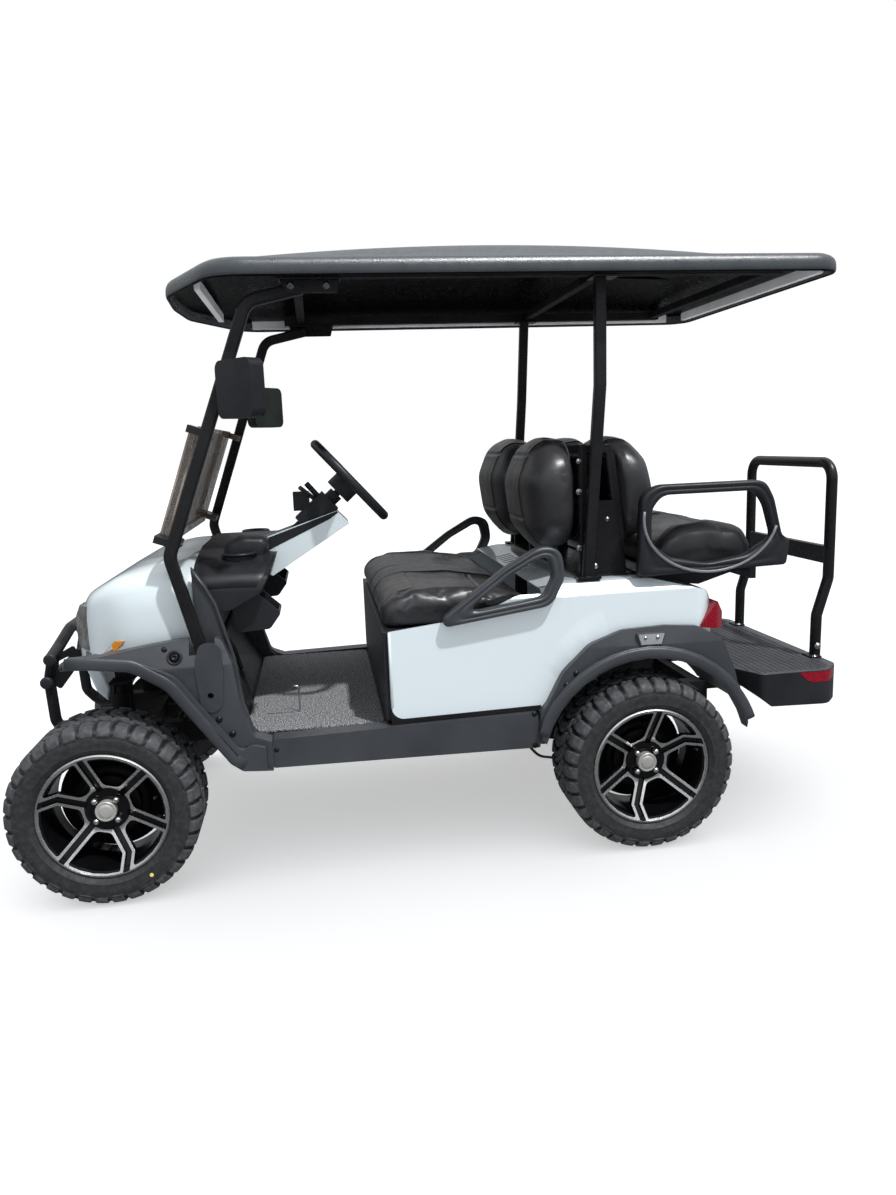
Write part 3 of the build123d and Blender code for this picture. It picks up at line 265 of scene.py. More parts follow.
INSERT = leather("brown_vinyl", (0.022, 0.018, 0.017), (0.036, 0.030, 0.028), (0.30, 0.44))
ALLOY = machined_alloy()
RUBBER = tyre_rubber("tyre_side", (0.014, 0.0145, 0.016), (0.030, 0.031, 0.034))
BLOCK_RUBBER = tyre_rubber("tyre_blocks", (0.034, 0.036, 0.040), (0.080, 0.084, 0.090))
# Painted shade: the groove rubber is made near black for the shade down in the tread grooves.
SHADED_GROOVE_RUBBER = tyre_rubber("tyre_grooves_painted_shade", (0.003, 0.003, 0.004), (0.010, 0.010, 0.011))
MAT = speckled_mat()
ACRYLIC = tinted_sheet()
RED_LENS = lens("red_lens", (0.05, 0.0005, 0.004), (0.22, 0.002, 0.012), 0.02)
AMBER_LENS = lens("amber_lens", (0.50, 0.16, 0.01), (0.80, 0.30, 0.03), 0.05)
# Painted reflection: the mirror glass is made dark green-black so it shows a dark reflection.
MIRROR = finish("mirror_glass", (0.05, 0.062, 0.055), (0.12, 0.145, 0.13), (0.01, 0.03), metal=1.0, depth=0)
YELLOW_DOT = finish("yellow_dot", (0.65, 0.52, 0.12), (0.75, 0.62, 0.2), (0.5, 0.6), depth=0)


# ------------------------------------------------------------------ mesh helpers
def make(name, verts, faces, mats, slots=None, smooth=True):
    """An object from points in mm; slots gives each face's material number."""
    mesh = bpy.data.meshes.new(name)
    mesh.from_pydata([at(*v) for v in verts], [], faces)
    mats = mats if isinstance(mats, (list, tuple)) else [mats]
    for mat in mats:
        mesh.materials.append(mat)
    if slots:
        mesh.polygons.foreach_set("material_index", slots)
    mesh.polygons.foreach_set("use_smooth", [smooth] * len(faces))
    obj = bpy.data.objects.new(name, mesh)
    bpy.context.scene.collection.objects.link(obj)
    tidy = bmesh.new()
    tidy.from_mesh(mesh)
    bmesh.ops.recalc_face_normals(tidy, faces=tidy.faces)
    tidy.to_mesh(mesh)
    tidy.free()
    return obj


def select_only(obj):
    for other in bpy.context.selected_objects:
        other.select_set(False)
    obj.select_set(True)
    bpy.context.view_layer.objects.active = obj


def apply(obj, kind, name="step", **values):
    mod = obj.modifiers.new(name, kind)
    for key, value in values.items():
        setattr(mod, key, value)
    select_only(obj)
    bpy.ops.object.modifier_apply(modifier=mod.name)
    return obj


def sharp_by_angle(obj, degrees=35):
    select_only(obj)
    bpy.ops.object.shade_smooth_by_angle(angle=math.radians(degrees))
    return obj


def joined(name, objects):
    """One object from several."""
    select_only(objects[0])
    for obj in objects[1:]:
        obj.select_set(True)
    if len(objects) > 1:
        bpy.ops.object.join()
    objects[0].name = name
    objects[0].data.name = name
    return objects[0]


def rings(loops, closed=True, caps=True):
    """Faces that join one loop of points to the next."""
    verts = [p for loop in loops for p in loop]
    n = len(loops[0])
    faces = []
    for i in range(len(loops) - 1):
        for j in range(n if closed else n - 1):
            k = (j + 1) % n
            faces.append((i * n + j, i * n + k, (i + 1) * n + k, (i + 1) * n + j))
    if caps and closed:
        faces.append(tuple(range(n))[::-1])
        last = (len(loops) - 1) * n
        faces.append(tuple(range(last, last + n)))
    return verts, faces


def bent(points, bend, steps=6, closed=False):
    """A path of straight runs with an arc of the given radius at each corner."""
    pts = [Vector(p) for p in points]
    out = []
    n = len(pts)
    for i, b in enumerate(pts):
        if not closed and i in (0, n - 1):
            out.append(b)
            continue
        a, c = pts[i - 1], pts[(i + 1) % n]
        u, v = (a - b), (c - b)
        lu, lv = u.length, v.length
        u.normalize()
        v.normalize()
        angle = u.angle(v)
        if angle > math.pi - 0.02:
            out.append(b)
            continue
        radius = bend[i] if isinstance(bend, (list, tuple)) else bend
        cut = min(radius / math.tan(angle / 2), 0.49 * min(lu, lv))
        for s in range(steps + 1):
            t = s / steps
            start, end = b + u * cut, b + v * cut
            out.append(start * (1 - t) ** 2 + b * 2 * t * (1 - t) + end * t ** 2)
    return out


def swept(path, section, turn=Vector((0, 1, 0)), closed=False, caps=True):
    """A section carried along a path; its first axis stays square to turn."""
    loops = []
    n = len(path)
    for i, p in enumerate(path):
        ahead = path[(i + 1) % n] if closed or i < n - 1 else p
        behind = path[i - 1] if closed or i > 0 else p
        along = (ahead - behind).normalized()
        side = along.cross(turn).normalized()
        up = side.cross(along).normalized()
        loops.append([tuple(p + side * a + up * b) for a, b in section])
    if closed:
        loops.append(loops[0])
    return rings(loops, caps=caps and not closed)


def ring_section(wide, deep, power=2.0, count=16):
    """A round or squarish outline."""
    out = []
    for i in range(count):
        a = 2 * math.pi * i / count
        c, s = math.cos(a), math.sin(a)
        out.append((math.copysign(abs(c) ** (2 / power), c) * wide / 2,
                    math.copysign(abs(s) ** (2 / power), s) * deep / 2))
    return out


def mirror_y(verts, faces):
    return [(x, -y, z) for x, y, z in verts], [tuple(reversed(f)) for f in faces]


def turned(profile, count, axis_at, side):
    """A profile of (radius, outward) turned round a wheel's axle; side is -1 for left."""
    loops = []
    for i in range(count):
        a = 2 * math.pi * i / count
        loops.append([(axis_at[0] + r * math.cos(a), axis_at[1] + side * w,
                       axis_at[2] + r * math.sin(a)) for r, w in profile])
    loops.append(loops[0])
    return rings(loops, closed=False, caps=False)


def bolt(place, direction, size=8.0, tall=4.0, sides=6):
    """A small hexagon head with a domed top."""
    direction = Vector(direction).normalized()
    side = direction.orthogonal().normalized()
    up = direction.cross(side)
    loops = []
    for rise, part in ((-1.0, 1.0), (tall * 0.8, 1.0), (tall, 0.86), (tall * 1.15, 0.4)):
        loops.append([tuple(Vector(place) + direction * rise + (side * math.cos(2 * math.pi * i / sides)
            + up * math.sin(2 * math.pi * i / sides)) * size * part) for i in range(sides)])
    return rings(loops)


def merged(*shapes):
    verts, faces = [], []
    for v, f in shapes:
        shift = len(verts)
        verts += list(v)
        faces += [tuple(i + shift for i in face) for face in f]
    return verts, faces


def place(obj, body, *nodes, slot=None):
    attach(obj, body)
    if nodes:
        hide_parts(*nodes)
    return obj


# ------------------------------------------------------------------ CAD nodes' finishes
FINISHES = [
    (("front_cowl", "rear_body", "column_cover"), PAINT),
    (("front_flares", "rear_flares", "kick_panels", "sills", "hip_restraints"), CHARCOAL),
    (("dash", "rear_armrests", "mirrors", "footplate", "seat_pod", "rear_seat_base"), DARK_PLASTIC),
    (("canopy",), ROOF_PLASTIC),
    (("front_struts", "rear_struts", "grab_bar", "brush_guard", "seat_back_frame"), STEEL),
    (("roof_bearers", "chassis_frame", "front_suspension", "rear_axle", "steering_rack", "knuckle_left",
      "knuckle_right"), CHASSIS),
    (("steering_column", "steering_wheel", "pedals", "battery_pack", "floor_pan"), DARK_PLASTIC),
    (("canopy_rails",), STRIP),
    (("floor_mat",), MAT),
    (("windshield", "front_lamps"), ACRYLIC),
    (("tail_lamps",), RED_LENS),
]
EDGE = {"canopy": 6.0, "front_cowl": 3.0, "rear_body": 3.0, "mirrors": 5.0, "dash": 3.0, "column_cover": 1.5}


def dress_cad():
    """Gives each CAD node its finish, and softens its edges by modifiers alone."""
    for names, mat in FINISHES:
        for name in names:
            obj = NODES[name]
            obj.data.materials.clear()
            obj.data.materials.append(mat)
    for name, obj in NODES.items():
        if not obj.data.materials or obj.data.materials[0] is None or name.startswith(("rim", "tyre")):
            continue
        weld = obj.modifiers.new("weld", "WELD")
        weld.merge_threshold = WELD_GAP
        flat = obj.modifiers.new("flat", "DECIMATE")
        flat.decimate_type = "DISSOLVE"
        flat.angle_limit = FLAT_ANGLE
        edge = obj.modifiers.new("edge", "BEVEL")
        edge.width = EDGE.get(name, 1.6) / 1000
        edge.segments = 2
        edge.limit_method = "ANGLE"
        edge.angle_limit = math.radians(38)
        edge.harden_normals = False
        obj.data.polygons.foreach_set("use_smooth", [True] * len(obj.data.polygons))
        smooth = obj.modifiers.new("normals", "WEIGHTED_NORMAL")
        smooth.keep_sharp = True


dress_cad()


# ------------------------------------------------------------------ tyres
PITCHES = 34
AROUND = PITCHES * 13
TREAD_R = 270.0


def tread_profile():
    """The tyre's section from bead to bead: (radius, width, part), part being side, shoulder or tread."""
    half = [(188, 96, "side"), (196, 102, "side"), (203, 108, "side"), (207, 110.5, "side"),
            (212, 110, "side"),
            (222, 112, "side"), (232, 112.3, "side"), (240, 111.5, "side"), (243, 110.5, "side"),
            (245, 110, "shoulder"), (249, 109, "shoulder"), (253, 107, "shoulder"), (257, 104.5, "shoulder"),
            (261, 100.5, "shoulder"), (264.5, 95.5, "shoulder"), (267, 89.5, "shoulder"),
            (268.8, 83, "shoulder"),
            (269.6, 77, "shoulder")]
    tread = [(TREAD_R, 70 - 3.6 * i, "tread") for i in range(40)]
    other = [(r, -w, part) for r, w, part in half[::-1]]
    inside = [(182, -90, "side"), (182, 90, "side")]
    return half + tread + other + inside


def step(value, low, high):
    t = min(1.0, max(0.0, (value - low) / (high - low)))
    return t * t * (3 - 2 * t)


def block_height(turn, w, part, r):
    """1 on a tread block, 0 in a groove; turn counts pitches round the tyre."""
    if part == "side":
        return 0.0
    if part == "shoulder":
        side = 0.5 if w > 0 else 0.0
        count = turn + side
        here = count % 1.0
        long_lug = int(math.floor(count)) % 2 == 0
        reach = 244 if long_lug else 250
        lug = step(here, 0.02, 0.08) * (1 - step(here, 0.78, 0.84))
        return lug * step(r, reach - 1.5, reach + 1.5)
    slant = 0.35 * math.sin(w / 22.0)
    lane = abs(w)
    if lane > 62:
        here = (turn + (0.5 if w > 0 else 0.0)) % 1.0
        return step(here, 0.02, 0.09) * (1 - step(here, 0.74, 0.81))
    if lane > 56:
        return 0.0
    if lane > 24:
        here = (turn * 1.0 + slant + (0.3 if w > 0 else 0.0)) % 1.0
        block = step(here, 0.0, 0.07) * (1 - step(here, 0.72, 0.80))
        sipe = 1 - 0.5 * (step(here, 0.34, 0.37) - step(here, 0.40, 0.43))
        return block * sipe
    if lane > 18:
        return 0.0
    here = (turn + slant) % 1.0
    return step(here, 0.0, 0.07) * (1 - step(here, 0.76, 0.84)) * (1 - 0.5 * (step(here, 0.38,
        0.41) - step(here, 0.44, 0.47)))


def sidewall_rib(turn, r, w):
    """Fine raised rings and a row of short radial ribs, with no lettering."""
    if r < 190 or abs(w) < 100:
        return 0.0
    ring = 0.8 * math.exp(-((r - 209) / 2.2) ** 2)
    ribs = 0.5 * max(0.0, math.sin(turn * 2 * math.pi * 3)) * math.exp(-((r - 238) / 3.5) ** 2)
    return ring + ribs


def tyre(name, side, x):
    profile = tread_profile()
    verts = []
    for i in range(AROUND):
        turn = i / AROUND * PITCHES
        a = 2 * math.pi * i / AROUND
        for r, w, part in profile:
            high = block_height(turn, w, part, r)
            out = sidewall_rib(turn, r, w)
            if part == "tread":
                rr, ww = r + (TYRE_R - 0.2 - r) * high, w
            elif part == "shoulder":
                lean = min(1.0, max(0.0, (r - 244) / 26))
                rr = r + 9.6 * high * lean
                ww = w + math.copysign(3.4 * high * (1 - lean * 0.6) - 4.0 * (1 - high) * step(r, 244, 256),
                                       w)
            else:
                rr, ww = r, w + math.copysign(out, w)
            rr = min(rr, TYRE_R - 0.2)
            ww = max(-112.4, min(112.4, ww))
            verts.append((x + rr * math.cos(a), side * TYRE_Y + side * ww, HUB_Z + rr * math.sin(a)))
    n = len(profile)
    faces, slots = [], []
    for i in range(AROUND):
        j = (i + 1) % AROUND
        turn = (i + 0.5) / AROUND * PITCHES
        for k in range(n):
            m = (k + 1) % n
            faces.append((i * n + k, i * n + m, j * n + m, j * n + k))
            r, w, part = profile[k]
            # Faces down in the grooves take the near-black rubber, painted shade in the recesses.
            if part == "side" or (part == "shoulder" and r < 249):
                slots.append(0)
            else:
                slots.append(1 if block_height(turn, (w + profile[m][1]) / 2, part,
                                               (r + profile[m][0]) / 2) > 0.45 else 2)
    obj = make(name, verts, faces, [RUBBER, BLOCK_RUBBER, SHADED_GROOVE_RUBBER], slots)
    return sharp_by_angle(obj, 40)


WHEELS = [("front_left", -1, -AXLE_X), ("front_right", 1, -AXLE_X), ("rear_left", -1, AXLE_X),
          ("rear_right", 1, AXLE_X)]
for where, side, x in WHEELS:
    place(tyre("tread_" + where, side, x), "wheel_" + where, "tyre_" + where, slot="rubber")

DOT_ANGLE = math.radians(-57)
DOT_R = 226
dot_at = (-AXLE_X + DOT_R * math.cos(DOT_ANGLE), -TYRE_Y - 112.2, HUB_Z + DOT_R * math.sin(DOT_ANGLE))
dot = make("tyre_paint_dot", *bolt(dot_at, (0, -1, 0), size=6, tall=0.5, sides=16), YELLOW_DOT)
place(dot, "wheel_front_left", slot="rubber")


# ------------------------------------------------------------------ seats
def closest_on(points, samples=24):
    """A smooth closed outline through rounded corners, evenly spread."""
    total = []
    n = len(points)
    for i in range(n):
        a, b = Vector(points[i]), Vector(points[(i + 1) % n])
        total.append((b - a).length)
    length = sum(total)
    out = []
    for k in range(samples):
        s = length * k / samples
        i = 0
        while s > total[i]:
            s -= total[i]
            i += 1
        a, b = Vector(points[i]), Vector(points[(i + 1) % n])
        out.append(tuple(a.lerp(b, s / total[i])))
    return out


def outline(points, samples):
    """points are (x, z, corner radius)."""
    flat = [(p[0], p[1], 0.0) for p in points]
    path = bent(flat, [p[2] for p in points], steps=6, closed=True)
    return [(p[0], p[1]) for p in closest_on([tuple(p) for p in path], samples)]


def bench(name, profile, y0, y1, round_off, lift, samples=84, stations=70):
    """A long cushion: its side outline carried across, rounded at both ends, its top shaped by lift(x, y)."""
    loop = outline(profile, samples)
    cx = (min(p[0] for p in loop) + max(p[0] for p in loop)) / 2
    cz = (min(p[1] for p in loop) + max(p[1] for p in loop)) / 2
    half_x = (max(p[0] for p in loop) - min(p[0] for p in loop)) / 2
    half_z = (max(p[1] for p in loop) - min(p[1] for p in loop)) / 2
    loops = []
    for i in range(stations + 1):
        t = i / stations
        y = (y0 + y1) / 2 - (y1 - y0) / 2 * math.cos(math.pi * t)
        gap = min(y - y0, y1 - y)
        inset = 0.0
        if gap < round_off:
            inset = round_off - math.sqrt(max(0.0, round_off ** 2 - (round_off - gap) ** 2))
        kx, kz = 1 - inset / half_x, 1 - inset / half_z
        ring = []
        for x, z in loop:
            px, pz = cx + (x - cx) * kx, cz + (z - cz) * kz
            top = step(pz, cz - half_z * 0.1, cz + half_z * 0.7)
            bottom = 1 - step(z, cz - half_z * 1.0, cz - half_z * 0.75)
            pz = pz * (1 - bottom) + (cz - half_z + (pz - cz + half_z) * 0.15) * bottom
            ring.append((px, y, pz + top * lift(px, y)))
        loops.append(ring)
    return make(name, *rings(loops), [VINYL, INSERT])


def puff(obj, voxel, pressure, cap):
    """Fills a cushion with a short cloth simulation; no point moves further than cap (metres)."""
    apply(obj, "REMESH", mode="VOXEL", voxel_size=voxel)
    before = [v.co.copy() for v in obj.data.vertices]
    cloth = obj.modifiers.new("cloth", "CLOTH")
    cloth.settings.use_pressure = True
    cloth.settings.uniform_pressure_force = pressure
    cloth.settings.quality = 4
    cloth.settings.effector_weights.gravity = 0
    cloth.point_cache.frame_start = 1
    cloth.point_cache.frame_end = 14
    for number in range(1, 15):
        bpy.context.scene.frame_set(number)
    graph = bpy.context.evaluated_depsgraph_get()
    after = [v.co.copy() for v in obj.evaluated_get(graph).data.vertices]
    obj.modifiers.remove(cloth)
    for v, a, b in zip(obj.data.vertices, before, after):
        move = b - a
        if move.length > cap:
            move = move * (cap / move.length)
        v.co = a + move
    bpy.context.scene.frame_set(1)
    return obj


def to_mm(p):
    return (p.x - MID_X) * 1000, p.y * 1000, p.z * 1000


def sew(obj, seams, region, depth=4.0, width=5.0, most=60000):
    """Presses seams into a cushion and colours its panels.

    seams gives a signed distance in mm to the nearest seam; region says if a face is insert.
    """
    mesh = obj.data
    normals = [v.normal.copy() for v in mesh.vertices]
    for v, normal in zip(mesh.vertices, normals):
        x, y, z = to_mm(v.co)
        gap = seams(x, y, z, normal)
        dent = depth * math.exp(-(gap / width) ** 2)
        swell = 1.2 * math.exp(-((abs(gap) - width * 2.2) / width) ** 2)
        v.co -= normal * (dent - swell) / 1000
    mats = []
    for face in mesh.polygons:
        x, y, z = to_mm(face.center)
        mats.append(1 if region(x, y, z, face.normal) else 0)
    mesh.materials.clear()
    mesh.materials.append(VINYL)
    mesh.materials.append(INSERT)
    mesh.polygons.foreach_set("material_index", mats)
    mesh.polygons.foreach_set("use_smooth", [True] * len(mesh.polygons))
    return apply(obj, "DECIMATE", ratio=min(1.0, most / (2 * len(mesh.polygons))))


SEAT_Y = 535.0
INSERT_IN, INSERT_OUT = 95.0, 462.0


def front_lift(x, y):
    """Two bucket hollows with raised edges, and a low ridge between them."""
    side = abs(y)
    hollow = -20 * step(side, 40, 150) * (1 - step(side, 400, 500)) * step(x, 60, 240)
    ridge = -10 * math.exp(-(side / 50) ** 2)
    return hollow + ridge


FRONT_SIDE = [(20, 757, 4), (504, 757, 8), (504, 806, 20), (420, 842, 90), (270, 868, 160), (110, 866, 90),
              (34, 846, 56), (8, 812, 40), (6, 775, 14)]


def front_seams(x, y, z, normal):
    side = abs(y)
    gaps = [abs(side - INSERT_IN), abs(side - INSERT_OUT)]
    if INSERT_IN < side < INSERT_OUT:
        gaps += [abs(x - 130), abs(x - 350)]
    return min(gaps) if normal.z > -0.3 else 99


def front_region(x, y, z, normal):
    return INSERT_IN < abs(y) < INSERT_OUT and normal.z > -0.35 and z > 790


front_cushion = bench("front_cushion_cover", FRONT_SIDE, -SEAT_Y + 4, SEAT_Y - 4, 46, front_lift)
puff(front_cushion, 0.009, 3.0, 0.008)
apply(front_cushion, "SUBSURF", levels=1)
sew(front_cushion, front_seams, front_region)
place(front_cushion, "front_seat", "front_seat_cushion", slot="vinyl")


def rear_lift(x, y):
    side = abs(y)
    hollow = -22 * step(side, 50, 170) * (1 - step(side, 370, 480)) * (1 - step(x, 1090, 1200))
    return hollow - 8 * math.exp(-(side / 50) ** 2)


REAR_SIDE = [(896, 896, 4), (1228, 896, 10), (1230, 950, 24), (1200, 1010, 44), (1080, 1038, 120),
             (975, 1024, 60), (925, 985, 40), (900, 935, 18)]


def rear_seams(x, y, z, normal):
    side = abs(y)
    gaps = [abs(side - INSERT_IN), abs(side - INSERT_OUT)]
    if INSERT_IN < side < INSERT_OUT:
        gaps += [abs(x - 1130)]
    return min(gaps) if normal.z > -0.3 else 99


rear_cushion = bench("rear_cushion_cover", REAR_SIDE, -524, 524, 44, rear_lift)
puff(rear_cushion, 0.009, 3.0, 0.006)
apply(rear_cushion, "SUBSURF", levels=1)
sew(rear_cushion, rear_seams, lambda x, y, z, n: INSERT_IN < abs(y) < INSERT_OUT and n.z > -0.35 and z > 930)
place(rear_cushion, "rear_seat", "rear_seat_cushion", slot="vinyl")


def side_limits(profile):
    """For a height, how far forward and back a pad's side outline reaches."""
    loop = outline(profile, 160)

    def limits(z):
        crossing = []
        n = len(loop)
        for i in range(n):
            (x0, z0), (x1, z1) = loop[i], loop[(i + 1) % n]
            if (z0 - z) * (z1 - z) <= 0 and z0 != z1:
                crossing.append(x0 + (x1 - x0) * (z - z0) / (z1 - z0))
        if not crossing:
            return None
        return min(crossing), max(crossing)
    return limits, min(p[1] for p in loop), max(p[1] for p in loop)


def backrest(name, profile, y0, y1, facing, levels=56, around=64):
    """A shield-shaped pad, flat at its back and full at its front and sides."""
    limits, low, high = side_limits(profile)
    low, high = low + 0.6, high - 0.6
    mid_z, half_z = (low + high) / 2, (high - low) / 2
    half_y = (y1 - y0) / 2
    cy = (y0 + y1) / 2
    loops = []
    for i in range(levels + 1):
        lift = math.sin(math.pi * (i / levels - 0.5))
        z = mid_z + half_z * lift
        x0, x1 = limits(z)
        back = x1 if facing < 0 else x0
        front = x0 if facing < 0 else x1
        wide = half_y * (1 - abs(lift) ** 3.2 * (0.62 if lift < 0 else 0.55)) * (1 - abs(lift) ** 14 * 0.5)
        ring = []
        for j in range(around):
            a = 2 * math.pi * j / around
            c, s = math.cos(a), math.sin(a)
            y = cy + wide * math.copysign(abs(s) ** 0.72, s)
            if c >= 0:
                depth = abs(c) ** 0.62
                x = back + (front - back) * (0.30 + 0.70 * depth)
            else:
                x = back + (front - back) * 0.30 * (1 - abs(c) ** 0.45)
            ring.append((x, y, z))
        loops.append(ring)
    return make(name, *rings(loops), [VINYL, INSERT])


BACK_SLOPE = (1295 - 874) / (802 - 750)


def upright_face(z):
    """Where the back frame's rear face is at a height."""
    return 814.1 - (z - 874) / BACK_SLOPE


PAD_FRONT = [(575, 944, 30), (625, 944, 30), (655, 985, 30), (655, 1318, 25), (600, 1328, 50),
             (530, 1285, 70), (488, 1180, 90), (508, 1040, 90)]
PAD_REAR = [(upright_face(966) + 6, 966, 16), (868, 964, 30), (904, 1015, 60), (922, 1100, 80),
            (925, 1150, 70), (905, 1240, 70), (850, 1312, 50), (790, 1326, 30),
            (upright_face(1300) + 6, 1300, 20)]
PAD_INSIDE, PAD_OUTSIDE = 5.0, 498.0
PANEL_IN, PANEL_OUT = 120.0, 355.0


def pad_seams(low, high):
    def seams(x, y, z, normal):
        side = abs(y)
        gaps = [abs(side - PANEL_IN), abs(side - PANEL_OUT)]
        if PANEL_IN < side < PANEL_OUT:
            gaps += [abs(z - low), abs(z - high)]
        return min(gaps)
    return seams


def pads(row, profile, facing, low, high):
    for number, side in (("left", -1), ("right", 1)):
        name = f"{row}_back_pad_{number}"
        y0, y1 = sorted((side * PAD_INSIDE, side * PAD_OUTSIDE))
        pad = backrest(name, profile, y0 + 3, y1 - 3, facing)
        puff(pad, 0.008, 3.0, 0.006)
        apply(pad, "SUBSURF", levels=1)

        def insert(x, y, z, normal, f=facing):
            return PANEL_IN < abs(y) < PANEL_OUT and normal.x * f > 0.0
        sew(pad, pad_seams(low, high), insert, most=40000)
        place(pad, "cart", f"{row}_backrests", slot="vinyl")


pads("front", PAD_FRONT, -1, 1062, 1268)
pads("rear", PAD_REAR, 1, 1060, 1266)



# ------------------------------------------------------------------ pieces worked up from CAD forms
def worked(name, cad_name, mats, rule, bevel=1.6, segments=2, angle=38):
    """A piece on a CAD node's own form, with rounded edges and each face's material by rule(x, y, z, normal)."""
    obj = bpy.data.objects.new(name, NODES[cad_name].data.copy())
    bpy.context.scene.collection.objects.link(obj)
    apply(obj, "WELD", merge_threshold=WELD_GAP)
    mesh = obj.data
    mesh.materials.clear()
    for mat in mats:
        mesh.materials.append(mat)
    mesh.polygons.foreach_set("material_index", [rule(*to_mm(f.center), f.normal) for f in mesh.polygons])
    apply(obj, "DECIMATE", decimate_type="DISSOLVE", angle_limit=FLAT_ANGLE, delimit={"MATERIAL"})
    if bevel:
        apply(obj, "BEVEL", width=bevel / 1000, segments=segments, limit_method="ANGLE",
              angle_limit=math.radians(angle))
    obj.data.polygons.foreach_set("use_smooth", [True] * len(obj.data.polygons))
    apply(obj, "WEIGHTED_NORMAL", keep_sharp=True)
    return obj


def only(number):
    return lambda x, y, z, normal: number


# ------------------------------------------------------------------ rims
DISH_IN, DISH_OUT = (66.0, 40.0), (183.0, 102.5)
RIM_FACE = 99.0
NUT_R, NUTS = 44.0, 4
CAP_FACE = 62.0


def dish(r):
    """How far out the spokes' machined face is at a radius."""
    (r0, w0), (r1, w1) = DISH_IN, DISH_OUT
    return w0 + max(r - r0, 0.0) * (w1 - w0) / (r1 - r0)


def rim_rule(x0, side):
    def rule(x, y, z, normal):
        r = math.hypot(x - x0, z - HUB_Z)
        w = y * side - TYRE_Y
        outward = normal.y * side
        if r > 182 and w > RIM_FACE and outward > 0.2:
            return 1
        if 65 < r < 184 and abs(w - dish(r)) < 1.5 and outward > 0.5:
            return 1
        if r < 31 and w > 40:
            return 2
        return 0
    return rule


def wheel_trim(x0, side):
    """Lug nuts in their pockets and a stepped centre cap."""
    shapes = []
    for i in range(NUTS):
        a = 2 * math.pi * (i + 0.5) / NUTS
        spot = (x0 + NUT_R * math.cos(a), side * (TYRE_Y + dish(NUT_R) + 6), HUB_Z + NUT_R * math.sin(a))
        shapes.append(bolt(spot, (0, side, 0), size=9.5, tall=15))
    profile = [(30.3, -6), (31.2, -3), (30.8, 0.6), (28.5, 2.2), (26, 2.2), (25, 1.0), (22, 1.0), (21, 2.6),
               (12, 3.6), (0.1, 4.2)]
    cap = turned([(r, w + CAP_FACE) for r, w in profile], 48, (x0, side * TYRE_Y, HUB_Z), side)
    return merged(*shapes), cap


def rim_piece(where, side, x0):
    body = worked("rim_" + where + "_cast", "rim_" + where, [GLOSS_BLACK, ALLOY, GREY_CAP],
                  rim_rule(x0, side), bevel=0.9, segments=2, angle=30)
    nuts, cap = wheel_trim(x0, side)
    nut_obj = make("nuts_" + where, *nuts, ALLOY)
    cap_obj = make("cap_" + where, *cap, GREY_CAP)
    valve = make("valve_" + where, *bolt((x0 + 150, side * (TYRE_Y + 82), HUB_Z + 40), (0, side, 0.2), size=4,
                                         tall=22, sides=12), DARK_PLASTIC)
    return joined("alloy_rim_" + where, [body, nut_obj, cap_obj, valve])


for where, side, x in WHEELS:
    place(rim_piece(where, side, x), "wheel_" + where, "rim_" + where, slot="alloy")


# ------------------------------------------------------------------ plastic, glass and lamps

def lamp_rule(x, y, z, normal):
    return 1 if abs(y) > 425 and z < 775 else 0


def shield_rule(x, y, z, normal):
    return 1 if abs(y) > 480 else 0


def mirror_rule(x, y, z, normal):
    """The flat face that looks back at the driver carries the glass."""
    return 1 if normal.x > 0.6 and normal.y * y < 0 and abs(z - 1486) < 90 else 0


def plate_rule(x, y, z, normal):
    return 1 if normal.z > 0.9 and z > 500 else 0


def tread_plate():
    """Black moulded plastic with a fine grain."""
    mat, tree, shader = material("tread_plate")
    drift = span(tree, grain(tree, 8), 0.3, 0.7, 0, 1)
    tree.links.new(blend_colour(tree, drift, (0.030, 0.032, 0.036), (0.055, 0.058, 0.064)),
                   shader.inputs["Base Color"])
    tree.links.new(span(tree, grain(tree, 60), 0.3, 0.7, 0.34, 0.5), shader.inputs["Roughness"])
    bump(tree, shader, grain(tree, 900, 2.0), 0.5, 0.0004)
    return mat


def lamp_inside():
    """Dark housing with paler patches, under clear gloss."""
    mat, tree, shader = material("lamp_inside")
    facets = span(tree, grain(tree, 22), 0.35, 0.65, 0, 1)
    tree.links.new(blend_colour(tree, facets, (0.10, 0.095, 0.09), (0.34, 0.335, 0.325)),
                   shader.inputs["Base Color"])
    shader.inputs["Metallic"].default_value = 0.5
    shader.inputs["Roughness"].default_value = 0.25
    shader.inputs["Coat Weight"].default_value = 1.0
    return mat


TREAD = tread_plate()
LAMP_INSIDE = lamp_inside()
place(worked("nose_lamps", "front_lamps", [LAMP_INSIDE, AMBER_LENS], lamp_rule, bevel=1.0), "cart",
      "front_lamps", slot="lamp")
place(worked("folding_screen", "windshield", [ACRYLIC, DARK_PLASTIC], shield_rule, bevel=0.8), "cart",
      "windshield", slot="screen")
# The mirror faces carry the darkened glass, a painted dark reflection.
place(worked("wing_mirrors", "mirrors", [DARK_PLASTIC, MIRROR], mirror_rule, bevel=9, segments=4), "cart",
      "mirrors", slot="charcoal")
place(worked("step_plate", "footplate", [DARK_PLASTIC, TREAD], plate_rule, bevel=3, segments=3), "cart",
      "footplate", slot="charcoal")


# ------------------------------------------------------------------ small parts
def basis(direction):
    out = Vector(direction).normalized()
    side = out.cross(Vector((0, 0, 1)) if abs(out.z) < 0.9 else Vector((1, 0, 0))).normalized()
    return out, side, out.cross(side)


def spin(profile, spot, direction, count=20):
    """A profile of (radius, outward) turned about an axis through spot."""
    out, side, up = basis(direction)
    loops = []
    for r, w in profile:
        loops.append([Vector(spot) + out * w + side * (r * math.cos(2 * math.pi * i / count))
                      + up * (r * math.sin(2 * math.pi * i / count)) for i in range(count)])
    return rings(loops)


